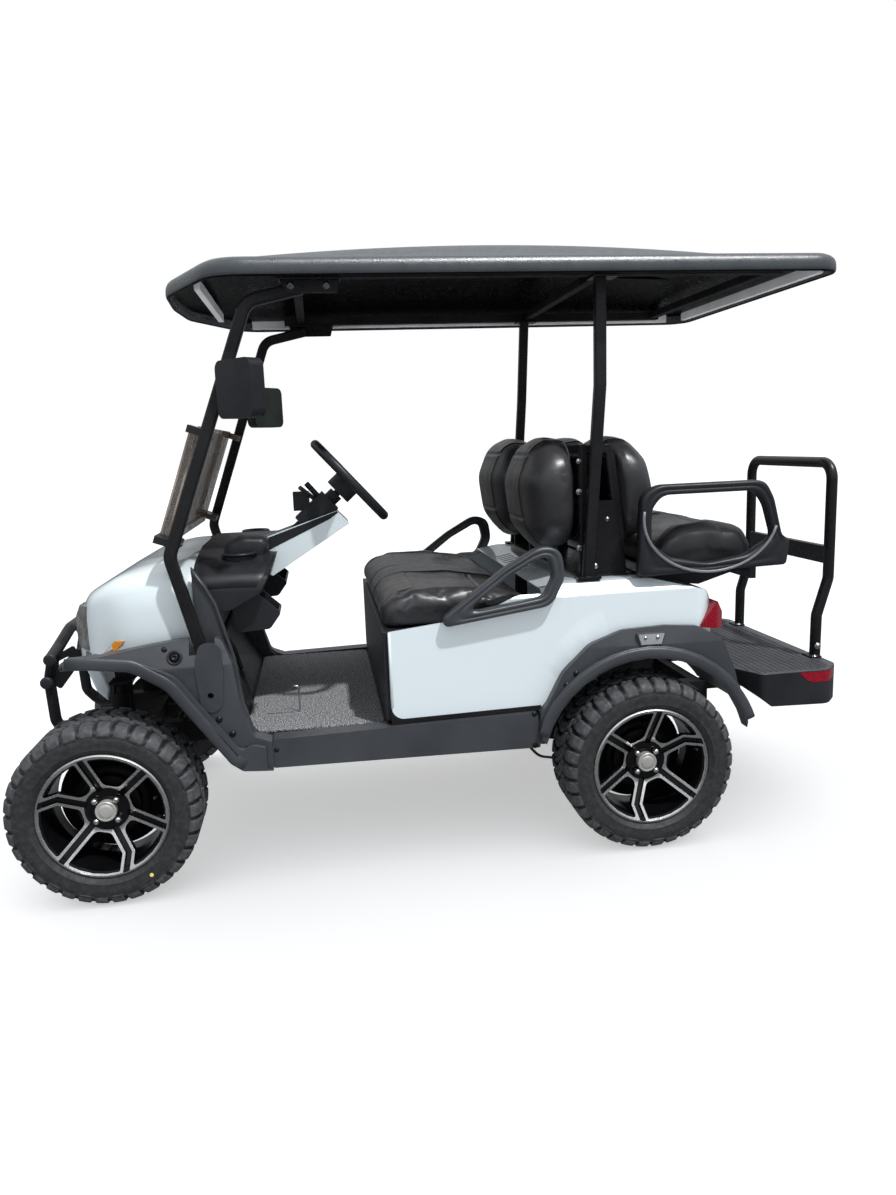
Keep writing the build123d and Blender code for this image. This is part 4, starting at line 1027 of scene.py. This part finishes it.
def dome(spot, direction, r, tall):
    """A round-headed bolt on its washer."""
    return spin([(r * 1.5, -1.5), (r * 1.5, 0.9), (r * 1.4, 1.4), (r, 1.4), (r, tall * 0.55),
                 (r * 0.8, tall * 0.85), (r * 0.4, tall), (0.2, tall + 0.1)], spot, direction)


def socket(spot, direction, r, tall):
    """A cap screw with a hollow middle."""
    return spin([(r * 1.6, -1.5), (r * 1.6, 1.0), (r, 1.2), (r, tall), (r * 0.9, tall + 0.6),
                 (r * 0.52, tall + 0.6), (r * 0.5, tall - 2.4), (0.2, tall - 2.4)], spot, direction)


def both_sides(shape):
    return merged(shape, mirror_y(*shape))


FLARE_TOP = 726.4
LEAN = (0, -0.91, 0.41)
OUT = (0, -1, 0)
# kind, place on the left side, direction, radius, height
BLACK_HEADS = [
    (dome, (-632, -576, 752), LEAN, 6, 5), (dome, (-490, -600, 535), OUT, 7, 5),
    (dome, (-454, -600, 488), OUT, 7, 5),
    (dome, (-413, -600, 437), OUT, 7, 5), (dome, (-374, -590, 423), OUT, 6, 4),
    (dome, (604, -600, 593), OUT, 7, 5),
    (dome, (573, -600, 557), OUT, 7, 5), (dome, (470, -590, 470), OUT, 6, 4),
    (dome, (470, -590, 366), OUT, 6, 4),
    (dome, (-330, -590, 423), OUT, 5, 3), (socket, (-603, -587, 728), LEAN, 9, 5),
]
BRIGHT_HEADS = [
    (socket, (-202, -513, 1776), OUT, 7, 5), (socket, (-100, -513, 1776), OUT, 7, 5),
    (dome, (828, -605, FLARE_TOP - 34), OUT, 4, 4), (dome, (868, -605, FLARE_TOP - 34), OUT, 4, 4),
    (dome, (1594, -308, 545), OUT, 8, 6), (dome, (1576, -318, 511), (0, 0, 1), 6, 5),
    (dome, (1576, -262, 511), (0, 0, 1), 6, 5),
]
for title, heads, finish_ in (("black_bolts", BLACK_HEADS, STEEL), ("bright_bolts", BRIGHT_HEADS, ZINC)):
    shape = merged(*[both_sides(kind(spot, way, r, tall)) for kind, spot, way, r, tall in heads])
    place(make(title, *shape, finish_), "cart")


# A lip round the large bolt, and the caps of the guard's tubes
def loop_bead(spot, direction, r, bead, count=28):
    profile = [(r + bead * math.cos(a), bead * math.sin(a)) for a in [math.pi * i / 5 for i in range(6)]]
    return spin(profile + [(r - bead, -2)], spot, direction, count)


def tube_cap(spot):
    return spin([(19.2, -4), (20.5, -3), (20.5, 4), (19.0, 7.5), (15.5, 9), (6, 9.6), (0.2, 9.7)], spot, OUT,
                28)


trim = [loop_bead((-603, -587.5, 728), LEAN, 19, 4), tube_cap((-1056, -231, 667)),
        tube_cap((-1074, -231, 591))]
place(make("flare_trim", *both_sides(merged(*trim)), DARK_PLASTIC), "cart")


# ------------------------------------------------------------------ rear plate's tread and reflectors
def plate_half(x):
    """Half width of the rear plate at a length."""
    return 345 + (x - 1228) * 131 / 64 if x < 1292 else (475 if x < 1530 else 475 - (x - 1530) * 0.95)


def tread_bars():
    """Rows of small raised bars, leaning one way and then the other."""
    shapes = []
    row = 0
    x = 1250.0
    while x < 1572:
        lean = 0.75 if row % 2 else -0.75
        half = plate_half(x) - 26
        y = -half + (row % 2) * 7
        while y < half:
            if not (x > 1548 and abs(abs(y) - 290) < 48):
                along = Vector((math.cos(lean), math.sin(lean), 0))
                beside_ = Vector((-along.y, along.x, 0))
                centre = Vector((x, y, 504.6))
                low = [centre + along * a + beside_ * b for a, b in ((-6.5, 0), (-3, -2.2), (3, -2.2), (6.5,
                    0), (3, 2.2), (-3, 2.2))]
                high = [centre + (p - centre) * 0.7 + Vector((0, 0, 2.2)) for p in low]
                shapes.append(rings([low, high]))
            y += 14
        x += 11
        row += 1
    return merged(*shapes)


place(make("tread_bars", *tread_bars(), TREAD), "cart")


def edge_band(points, low, high, out, thick, side=1):
    """A strip that follows a run of plan points, standing off by out."""
    loops = []
    line = [Vector((x, y, 0)) for x, y in points]
    for i, p in enumerate(line):
        ahead = (line[min(i + 1, len(line) - 1)] - line[max(i - 1, 0)]).normalized()
        away = Vector((ahead.y, -ahead.x, 0)) * side
        taper = min(1.0, (i + 0.4) / 3)
        top, base = high, high - (high - low) * taper
        a, b = p + away * out, p - away * thick
        loops.append([Vector((a.x, a.y, top)), Vector((a.x, a.y, base)), Vector((b.x, b.y, base)),
                      Vector((b.x, b.y, top))])
    return rings(loops)


REFLECTOR = [(1432, -474.5), (1446, -474.5), (1460, -474.4), (1480, -474.3), (1500, -474.2), (1524, -473.5),
             (1540, -468), (1560, -450), (1580, -427), (1592, -411), (1602, -392), (1606, -372), (1606, -340),
             (1606, -310)]
place(make("reflectors", *both_sides(edge_band(REFLECTOR, 464, 500, 1.8, 4)), RED_LENS, smooth=False), "cart")


# ------------------------------------------------------------------ beads, cable and springs
def bead_along(points, bend, wide, deep, count=10, turn=Vector((0, 1, 0)), closed=False):
    path = bent([Vector(p) for p in points], bend, 8, closed)
    return swept(path, ring_section(wide, deep, 2.0, count), turn, closed)


cable = bead_along([(430, -505, 372), (462, -520, 345), (500, -520, 302), (560, -505, 286), (640, -470, 296)],
                   60, 9, 9)
place(make("cable", *cable, DARK_PLASTIC), "cart")
wire = bead_along([(-372, -330, 456), (-268, -330, 456), (-262, -330, 462), (-262, -330, 545),
                   (-285, -330, 548)], 8, 6, 6)
place(make("pedal_wire", *wire, ZINC), "cart")


# ------------------------------------------------------------------ panels with wide roundings
# A paler grey that paints the highlight along the lip of each armrest bowl.
HIGHLIGHT_GREY = finish("painted_highlight_grey", (0.10, 0.105, 0.115), (0.20, 0.21, 0.225), (0.30, 0.44), depth=0.0002)


def rounded(name, cad_name, mats, rule, picks, fine=1.4):
    """A CAD form whose picked outer edges get a wide rounding and the rest a small one."""
    obj = bpy.data.objects.new(name, NODES[cad_name].data.copy())
    bpy.context.scene.collection.objects.link(obj)
    apply(obj, "WELD", merge_threshold=WELD_GAP)
    mesh = obj.data
    mesh.materials.clear()
    for mat in mats:
        mesh.materials.append(mat)
    mesh.polygons.foreach_set("material_index", [rule(*to_mm(f.center), f.normal) for f in mesh.polygons])
    apply(obj, "DECIMATE", decimate_type="DISSOLVE", angle_limit=FLAT_ANGLE, delimit={"MATERIAL"})
    bm = bmesh.new()
    bm.from_mesh(obj.data)
    for pick, offset in picks:
        edges = [e for e in bm.edges if len(e.link_faces) == 2 and e.calc_face_angle(0) > math.radians(35)
                 and pick(*to_mm(e.verts[0].co)) and pick(*to_mm(e.verts[1].co))]
        bmesh.ops.bevel(bm, geom=edges, offset=offset / 1000, segments=4, affect="EDGES", profile=0.5,
                        clamp_overlap=True)
    bm.to_mesh(obj.data)
    bm.free()
    if fine:
        apply(obj, "BEVEL", width=fine / 1000, segments=2, limit_method="ANGLE", angle_limit=math.radians(40))
    obj.data.polygons.foreach_set("use_smooth", [True] * len(obj.data.polygons))
    apply(obj, "WEIGHTED_NORMAL", keep_sharp=True)
    return obj


# Half widths over the flares and over the side body, and how near a corner has to lie
FLARE_Y, BODY_Y, NEAR = 614, 570, 0.7


def on_lip(x, y, z):
    return abs(abs(y) - FLARE_Y) < NEAR


def on_side(x, y, z):
    return abs(abs(y) - BODY_Y) < NEAR


def cover_rule(x, y, z, normal):
    return 1 if normal.z > 0.4 or normal.z < -0.4 else 0


place(rounded("front_guards", "front_flares", [CHARCOAL], only(0), [(on_lip, 9.0)]), "cart", "front_flares",
      slot="charcoal")
place(rounded("rear_guards", "rear_flares", [CHARCOAL], only(0), [(on_lip, 9.0)]), "cart", "rear_flares",
      slot="charcoal")
place(rounded("side_body", "rear_body", [PAINT], only(0), [(on_side, 4.8)], fine=2.0), "cart", "rear_body",
      slot="body_paint")
place(rounded("cover_strip", "column_cover", [PAINT, DARK_PLASTIC], cover_rule, [], fine=3.0), "cart",
      "column_cover", slot="body_paint")

# The softly raised panel round each rear arch; it fades into the side at both ends
CREASE = [(497, 545), (508, 628), (548, 702), (612, 762), (690, 806), (800, 834)]


def arch_panel():
    outer = bent([(x, 0, z) for x, z in CREASE], 110, 10)
    loops = []
    for i, p in enumerate(outer):
        u = i / (len(outer) - 1)
        turn = math.atan2(p.z - HUB_Z, p.x - AXLE_X)
        inner = Vector((AXLE_X + 404 * math.cos(turn), 0, HUB_Z + 404 * math.sin(turn)))
        loop = []
        for j in range(25):
            t = j / 24
            high = 5.0 * step(t, 0, 0.5) * (1 - step(u, 0.5, 1)) * step(u, 0.0,
                0.4) - 0.8 * (1 - step(u, 0, 0.1))
            spot = p.lerp(inner, t)
            loop.append(Vector((spot.x, -569.7 - high, spot.z)))
        loops.append(loop)
    return rings(loops, closed=False, caps=False)


place(make("arch_panels", *both_sides(arch_panel()), PAINT), "cart")

# The raised edge along each kick panel
KICK_EDGE = [(-376, 458), (-402, 482), (-424, 560), (-440, 700), (-481, 868), (-506, 920), (-540, 975)]
kick_edge = bead_along([(x, -539, z) for x, z in KICK_EDGE], 40, 10, 10)
place(make("kick_edges", *both_sides(kick_edge), CHARCOAL), "cart")


# ------------------------------------------------------------------ rear armrest bowls, brake drums, frame bolts
def bowl():
    points = []
    for i in range(25):
        t = math.radians(172 + 175 * i / 24)
        points.append(Vector((1052 + 222 * math.cos(t), -583, 1062 + 174 * math.sin(t))))
    return swept(points, ring_section(9, 8, 2.0, 10))


# The bowl's rim bead carries the painted highlight grey.
place(make("arm_bowls", *both_sides(bowl()), HIGHLIGHT_GREY), "cart")


def drum(x, side):
    profile = [(20, -66), (158, -66), (160, -62), (158, -58), (116, -54), (112, -22), (106, -17), (60, -15),
               (20, -15)]
    return turned(profile, 56, (x, side * TYRE_Y, HUB_Z), side)


for where, side, x in WHEELS:
    place(make("drum_" + where, *drum(x, side), CHASSIS), "wheel_" + where)

FRAME_HEADS = [((654, -482, 1150), 8), ((654, -482, 972), 8), ((705, -487, 912), 7), ((745, -487, 1060), 6),
               ((654, -482, 1245), 7)]
place(make("frame_bolts", *both_sides(merged(*[dome(spot, OUT, r * 0.8, 5) for spot, r in FRAME_HEADS])),
           ZINC), "cart")


# ------------------------------------------------------------------ the dash's cheek beside the column
CHEEK = [(-470, 985), (-460, 1030), (-405, 1056), (-335, 1050), (-316, 1030), (-334, 992), (-318, 938),
         (-345, 905), (-420, 900)]


def cheek():
    loop = bent([(x, 0, z) for x, z in CHEEK], [40, 40, 60, 24, 20, 60, 30, 20, 20], 8, closed=True)
    middle_ = sum(loop, Vector()) / len(loop)
    loops = []
    for y, size in ((-390, 0.70), (-384, 0.84), (-374, 0.93), (-360, 0.985), (-346, 1.0), (-333, 1.0)):
        loops.append([Vector((middle_.x + (p.x - middle_.x) * size, y,
                              middle_.z + (p.z - middle_.z) * size)) for p in loop])
    return rings(loops)


place(make("dash_cheek", *cheek(), DARK_PLASTIC), "cart")


# ------------------------------------------------------------------ nose: one smooth skin
COWL_SIDE = [(-952, 640, 0), (-546, 640, 0), (-546, 1008, 0), (-640, 1000, 60), (-770, 958, 150),
             (-890, 895, 110), (-948, 800, 110), (-962, 720, 60)]
COWL_PLAN = [(-970, -190, 140), (-935, -330, 160), (-862, -440, 160), (-740, -520, 200), (-620, -535, 120),
             (-500, -535, 0), (-500, 535, 0), (-620, 535, 120), (-740, 520, 200), (-862, 440, 160),
             (-935, 330, 160), (-970, 190, 140)]
COWL_FRONT = [(-535, 500, 0), (535, 500, 0), (535, 790, 30), (528, 880, 90), (492, 958, 80), (400, 993, 120),
              (180, 1008, 200), (-180, 1008, 200), (-400, 993, 120), (-492, 958, 80), (-528, 880, 90),
              (-535, 790, 30)]
COWL_LOW = [(-1000, 660), (-905, 660), (-904, 724), (-830, 724), (-726, 712), (-634, 652), (-546, 600)]


def reach(path, origin, way):
    """How far a flat ray from origin runs before it leaves a closed outline."""
    best = 1e9
    ox, oz = origin
    dx, dz = way
    for i, (ax, az) in enumerate(path):
        bx, bz = path[(i + 1) % len(path)]
        ex, ez = bx - ax, bz - az
        cross = dx * ez - dz * ex
        if abs(cross) < 1e-9:
            continue
        t = ((ax - ox) * ez - (az - oz) * ex) / cross
        s = ((ax - ox) * dz - (az - oz) * dx) / cross
        if t > 0 and -1e-6 <= s <= 1 + 1e-6:
            best = min(best, t)
    return best


def softer(a, b, soft):
    """The smaller of two lengths, blended where they are close."""
    h = max(soft - abs(a - b), 0.0) / soft
    return min(a, b) - h * h * soft * 0.25


def below(x):
    for (x0, z0), (x1, z1) in zip(COWL_LOW, COWL_LOW[1:]):
        if x0 <= x <= x1:
            return z0 + (z1 - z0) * (x - x0) / (x1 - x0)
    return COWL_LOW[-1][1]


def nose_skin():
    side, plan, front = ([(p[0], p[1]) for p in bent([(a, b, 0.0) for a, b, r in line],
        [r for a, b, r in line], 8, True)] for line in (COWL_SIDE, COWL_PLAN, COWL_FRONT))
    origin = Vector((-546, 0, 700))
    loops = []
    around, rows = 108, 52
    for j in range(rows + 1):
        tilt = math.radians(0.5 + 89.5 * (j / rows))
        loop = []
        for i in range(around + 1):
            roll = math.radians(-20 + 220 * i / around)
            way = Vector((-math.cos(tilt), math.sin(tilt) * math.cos(roll), math.sin(tilt) * math.sin(roll)))
            far = reach(side, (origin.x, origin.z), (way.x, way.z))
            far = softer(far, reach(plan, (origin.x, origin.y), (way.x, way.y)), 70)
            far = softer(far, reach(front, (origin.y, origin.z), (way.y, way.z)), 60)
            spot = origin + way * far
            if j == rows:
                spot.x = -546
            spot.z = max(spot.z, below(spot.x) if abs(spot.y) > 300 else 660)
            loop.append(spot)
        loops.append(loop)
    return rings(loops, closed=False, caps=False)


def thickened(skin, centre, thick=0.004):
    """Turns a sheet's faces away from its centre, then thickens it inward."""
    apply(skin, "WELD", merge_threshold=0.0004)
    away = sum((f.center - at(*centre)).dot(f.normal) * f.area for f in skin.data.polygons)
    if away < 0:
        skin.data.flip_normals()
    return apply(skin, "SOLIDIFY", thickness=thick, offset=-1.0)


def nose():
    skin = thickened(make("nose_skin", *nose_skin(), PAINT), (-546, 0, 700))
    loops = []
    for y in (-262, 262):
        loops.append([(-951, y, 672), (-905, y, 672), (-870, y, 560), (-880, y, 520), (-915, y, 560)])
    chin = make("nose_chin", *rings(loops), PAINT)
    apply(chin, "BEVEL", width=0.010, segments=4, limit_method="ANGLE", angle_limit=math.radians(30))
    obj = joined("nose_shell", [skin, chin])
    apply(obj, "WEIGHTED_NORMAL", keep_sharp=True)
    return obj


place(nose(), "cart", "front_cowl", slot="body_paint")


# ------------------------------------------------------------------ guards' lips
def beside_line(points, by):
    """A run of flat points moved sideways."""
    out = []
    for i, (x, z) in enumerate(points):
        ax, az = points[max(i - 1, 0)]
        bx, bz = points[min(i + 1, len(points) - 1)]
        run = math.hypot(bx - ax, bz - az)
        out.append((x - (bz - az) / run * by, z + (bx - ax) / run * by))
    return out


FLARE_FRONT = [(-905, 714), (-830, 712), (-726, 700), (-634, 640), (-545, 512), (-465, 398), (-436, 376)]


def guard_lips():
    front = [(p.x, p.z) for p in bent([(x, 0, z) for x, z in FLARE_FRONT], [0, 60, 70, 90, 80, 30, 0], 8)]
    front = [Vector((x, -610 + 8 * (1 - step(x, -900, -820)), z)) for x, z in beside_line(front, 18)]
    rear = [Vector((AXLE_X + 366 * math.cos(a), -610,
                    HUB_Z + 366 * math.sin(a))) for a in [math.radians(20 + 140 * i / 60) for i in range(61)]]
    return merged(swept(front, ring_section(36, 16, 2.2, 20)), swept(rear, ring_section(34, 16, 2.2, 20)))


place(make("guard_lips", *both_sides(guard_lips()), CHARCOAL), "cart")


# ------------------------------------------------------------------ moulded hoops beside the seats
HIP_OUT = [(196, 766, 26), (530, 813, 60), (574, 900, 80), (562, 985, 60), (500, 1002, 80), (380, 935, 140),
           (186, 794, 26)]
HIP_IN = [(252, 804, 18), (505, 842, 36), (536, 905, 50), (524, 960, 36), (498, 966, 44), (398, 913, 110)]
ARM_OUT = [(818, 882, 10), (1310, 895, 10), (1320, 975, 18), (1292, 990, 30), (1262, 1110, 110),
           (1232, 1168, 70), (880, 1166, 80), (826, 1138, 70), (820, 1000, 20)]
ARM_IN = [(858, 985, 30), (920, 938, 60), (1040, 914, 140), (1170, 932, 110), (1264, 985, 30),
          (1234, 1090, 110), (1202, 1136, 60), (892, 1134, 60), (858, 1090, 60)]
BAR = [(0.0, 0), (0.0, 0.76), (0.06, 0.90), (0.18, 0.98), (0.30, 1.0), (0.41, 0.95), (0.5, 0.90),
       (0.59, 0.95), (0.70, 1.0), (0.82, 0.98), (0.94, 0.90), (1.0, 0.76), (1.0, 0)]


def hoop(outer, inner, y_back, y_face):
    """A closed moulded bar between two outlines, with a shallow groove along its face."""
    a, b = outline(inner, 150), outline(outer, 150)
    middle_x, middle_z = sum(p[0] for p in a) / 150, sum(p[1] for p in a) / 150
    turns = [math.atan2(z - middle_z, x - middle_x) for x, z in a]
    b = [(middle_x + reach(b, (middle_x, middle_z), (math.cos(t), math.sin(t))) * math.cos(t),
          middle_z + reach(b, (middle_x, middle_z), (math.cos(t), math.sin(t))) * math.sin(t)) for t in turns]
    loops = []
    for f, d in BAR:
        y = y_back + (y_face - y_back) * d
        loops.append([(p[0] * (1 - f) + q[0] * f, y, p[1] * (1 - f) + q[1] * f) for p, q in zip(a, b)])
    loops.append(loops[0])
    return rings(loops, closed=True, caps=False)


place(make("hip_hoops", *both_sides(hoop(HIP_OUT, HIP_IN, -570, -607)), CHARCOAL), "cart", "hip_restraints",
      slot="charcoal")
place(make("arm_hoops", *both_sides(hoop(ARM_OUT, ARM_IN, -546, -583)), DARK_PLASTIC), "cart",
      "rear_armrests", slot="charcoal")


# ------------------------------------------------------------------ gap strip under the body side, blank plaques
def flat_piece(points, y, thick=0.8):
    """A thin sheet on the left side, from flat (x, z) points."""
    return rings([[(x, y, z) for x, z in points], [(x, y + thick, z) for x, z in points]])


def body_gap():
    """The dark gap along the foot of the body side, with the panel's rounded front corner."""
    foot = 463.5
    corner = [(64 + 40 * math.cos(a),
               foot + 58 + 40 * math.sin(a)) for a in [math.radians(270 - 90 * i / 12) for i in range(13)]]
    return flat_piece([(22.6, foot - 1), (497, 474), (497, 491)] + corner + [(22.6, foot + 58)], -570.9)


place(make("body_gap", *both_sides(body_gap()), CHASSIS, smooth=False), "cart")
front_edge = bead_along([(27, -567.4, 519), (27, -567.4, 640), (27, -567.4, 756)], 10, 14, 9, 16,
                        Vector((1, 0, 0)))
place(make("body_front_edges", *both_sides(front_edge), PAINT), "cart")

COVER_TOP = [(-432, 1004.3), (-348, 990), (-127, 1090), (-99, 1110), (-104, 1114)]
cover_top = [[(x, y, z) for x, z in COVER_TOP] for y in (-330.9, -330.1, -229.9, -229.1)]
place(make("cover_bands", *merged(rings(cover_top[:2]), rings(cover_top[2:])), DARK_PLASTIC, smooth=False),
      "cart")

PLAQUE_GREY = finish("plaque_grey", (0.26, 0.28, 0.30), (0.38, 0.40, 0.42), (0.3, 0.42), metal=0.4,
                     depth=0.0001)
PLAQUE = [(805, FLARE_TOP - 22), (815, FLARE_TOP - 56), (881, FLARE_TOP - 56), (891, FLARE_TOP - 22)]
place(make("guard_plaques", *both_sides(flat_piece(PLAQUE, -604.9)), PLAQUE_GREY, smooth=False), "cart")


# ------------------------------------------------------------------ dash pad
DASH_SIDE = [(-546, 835, 0), (-440, 846, 0), (-352, 893, 20), (-330, 930, 20), (-297, 1000, 24),
             (-306, 1024, 24), (-430, 1022, 40), (-546, 1012, 0)]
DASH_TOP = [(0, 1025), (90, 1024), (200, 1014), (380, 991), (455, 968), (500, 940), (516, 905)]


def top_at(y):
    y = abs(y)
    for (y0, z0), (y1, z1) in zip(DASH_TOP, DASH_TOP[1:]):
        if y0 <= y <= y1:
            return z0 + (z1 - z0) * (y - y0) / (y1 - y0)
    return DASH_TOP[-1][1]


def dash_pad():
    side = [(p[0], p[1]) for p in bent([(a, b, 0.0) for a, b, r in DASH_SIDE], [r for a, b, r in DASH_SIDE],
                                       8, True)]
    loops = []
    for i in range(113):
        y = -514 + 1028 * i / 112
        loop = []
        for j in range(57):
            a = math.radians(-24 + 200 * j / 56)
            way = (math.cos(a), math.sin(a))
            far = reach(side, (-440, 880), way)
            if way[1] > 0.02:
                far = softer(far, (top_at(y) - 880) / way[1], 60)
            far += 6
            x, z = -440 + way[0] * far, 880 + way[1] * far
            loop.append(Vector((max(x, -545), y, z)))
        loops.append(loop)
    verts, faces = rings(loops, closed=False, caps=False)

    def open_cup(face):
        mid = sum((Vector(verts[k]) for k in face), Vector()) / len(face)
        return mid.z > 960 and math.hypot(mid.x + 413, abs(mid.y) - 385) < 44
    return verts, [f for f in faces if not open_cup(f)]


place(thickened(make("dash_pad", *dash_pad(), DARK_PLASTIC), (-440, 0, 880)), "cart")
cup_rings = merged(loop_bead((-413, -385, 998), (0, 0, 1), 47, 8, 48),
                   loop_bead((-413, 385, 998), (0, 0, 1), 47, 8, 48))
place(make("cup_rings", *cup_rings, DARK_PLASTIC), "cart")


# ------------------------------------------------------------------ roof: one domed shell with a rolled lip
ROOF_PLAN = [(-500, -440, 130), (-420, -608, 150), (600, -612, 300), (1400, -608, 80), (1462, -560, 90),
             (1462, 560, 90), (1400, 608, 80), (600, 612, 300), (-420, 608, 150), (-500, 440, 130),
             (-590, 250, 200), (-606, 0, 400), (-590, -250, 200)]
ROOF_LIP, ROOF_CROWN = 1842.0, 1930.0
ROLL = [(15, 1824), (14, 1812), (13, 1791), (9, 1786.6), (4, 1787.5), (0.8, 1792), (0, 1799), (0.5, 1811),
        (2.5, 1821), (7, 1829.5), (14, 1836), (26, 1841.5)]


def dome_height(x, y):
    along_ = max(0.0, math.sin(math.pi * min(1.0, max(0.0, (x + 590) / 2000)))) ** 0.75
    across = max(0.0, 1 - (abs(y) / 585) ** 3.5)
    return (ROOF_CROWN - ROOF_LIP) * along_ * across


def roof_shell():
    edge = [Vector((x, y, 0)) for x, y in outline(ROOF_PLAN, 240)]
    n = len(edge)
    centre_x = sum(p.x for p in edge) / n
    inward = []
    for i, p in enumerate(edge):
        run = (edge[(i + 1) % n] - edge[i - 1]).normalized()
        side = Vector((-run.y, run.x, 0))
        inward.append(side if side.dot(Vector((centre_x, 0, 0)) - p) > 0 else -side)
    spine = [Vector((min(1150.0, max(-250.0, p.x)), 0, 0)) for p in edge]

    def ring(by, z):
        return [Vector((p.x + way.x * by, p.y + way.y * by, z)) for p, way in zip(edge, inward)]

    def inner(start, base, drop):
        rows = []
        for k in range(1, 25):
            s = (k / 24) ** 1.25 * 0.985
            row = []
            for p, c in zip(start, spine):
                x, y = p.x * (1 - s) + c.x * s, p.y * (1 - s) + c.y * s
                row.append(Vector((x, y, base + dome_height(x, y) * step(s, -0.02, 0.30) - drop)))
            rows.append(row)
        return rows

    lip = [ring(by, z) for by, z in ROLL]
    top = inner(lip[-1], ROOF_LIP, 0.0)
    under = inner(lip[0], ROOF_LIP, 18.0)
    return rings(under[::-1] + lip + top)


place(make("roof_shell", *roof_shell(), ROOF_PLASTIC), "cart", "canopy", slot="charcoal")


# ------------------------------------------------------------------ studio
def studio_floor():
    """Near-white ground that keeps a pale grey in the shade under the cart."""
    mat, tree, shader = material("studio_floor")
    drift = span(tree, grain(tree, 0.6), 0.3, 0.7, 0, 1)
    tree.links.new(blend_colour(tree, drift, (0.90, 0.90, 0.90), (0.92, 0.92, 0.92)),
                   shader.inputs["Base Color"])
    shader.inputs["Roughness"].default_value = 0.9
    shader.inputs["Specular IOR Level"].default_value = 0.1
    shader.inputs["Emission Color"].default_value = (1, 1, 1, 1)
    shader.inputs["Emission Strength"].default_value = 0.46
    return mat


def lamp(name, kind, energy, spot, target, **values):
    light = bpy.data.lights.new(name, kind)
    light.energy = energy
    for key, value in values.items():
        setattr(light, key, value)
    obj = bpy.data.objects.new(name, light)
    obj.location = at(*spot)
    obj.rotation_euler = (at(*target) - at(*spot)).to_track_quat("-Z", "Y").to_euler()
    bpy.context.scene.collection.objects.link(obj)
    return obj


def studio():
    floor = make("floor", [(-60000, -60000, -1.2), (60000, -60000, -1.2), (60000, 60000, -1.2),
                           (-60000, 60000, -1.2)], [(0, 1, 2, 3)], studio_floor())
    floor.visible_glossy = False
    world = bpy.data.worlds.new("studio")
    bpy.context.scene.world = world
    world.use_nodes = True
    tree = world.node_tree
    soft = tree.nodes["Background"]
    soft.inputs["Color"].default_value = (0.94, 0.97, 1.0, 1)
    upward = node(tree, "ShaderNodeSeparateXYZ")
    tree.links.new(node(tree, "ShaderNodeTexCoord").outputs["Generated"], upward.inputs[0])
    tree.links.new(span(tree, upward.outputs["Z"], -0.05, 0.75, 0.16, 1.0), soft.inputs["Strength"])
    white = node(tree, "ShaderNodeBackground", Strength=1.0, Color=(1, 1, 1, 1))
    seen = node(tree, "ShaderNodeLightPath")
    mix = node(tree, "ShaderNodeMixShader")
    tree.links.new(seen.outputs["Is Camera Ray"], mix.inputs[0])
    tree.links.new(soft.outputs[0], mix.inputs[1])
    tree.links.new(white.outputs[0], mix.inputs[2])
    tree.links.new(mix.outputs[0], tree.nodes["World Output"].inputs["Surface"])
    sun = lamp("sun", "SUN", 3.4, (1300, -1750, 4600), (0, 0, 600), angle=math.radians(2.5))
    shade = bpy.data.collections.new("unlit_by_sun")
    shade.objects.link(floor)
    shade.collection_objects[0].light_linking.link_state = "EXCLUDE"
    sun.light_linking.receiver_collection = shade
    bpy.context.scene.view_settings.view_transform = "Standard"


CAMERA_AT = (-159.6, -3163.1, 1319.1)
CAMERA_YAW, CAMERA_PITCH, CAMERA_ROLL = math.radians(8.157), math.radians(-10.073), math.radians(-2.091)
FOCAL_PX, PHOTO_TALL = 873.9, 1195
SENSOR = 36.0


def camera():
    yaw, pitch, roll = CAMERA_YAW, CAMERA_PITCH, CAMERA_ROLL
    ahead = Vector((math.sin(yaw) * math.cos(pitch), math.cos(yaw) * math.cos(pitch), math.sin(pitch)))
    level = ahead.cross(Vector((0, 0, 1))).normalized()
    upright = level.cross(ahead)
    right = level * math.cos(roll) + upright * math.sin(roll)
    up = upright * math.cos(roll) - level * math.sin(roll)
    lens_data = bpy.data.cameras.new("camera")
    lens_data.sensor_width = SENSOR
    lens_data.sensor_fit = "AUTO"
    lens_data.lens = FOCAL_PX / PHOTO_TALL * SENSOR
    obj = bpy.data.objects.new("camera", lens_data)
    turn = Matrix((right, up, -ahead)).transposed().to_4x4()
    obj.matrix_world = Matrix.Translation(at(*CAMERA_AT)) @ turn
    bpy.context.scene.collection.objects.link(obj)
    bpy.context.scene.camera = obj


studio()
camera()
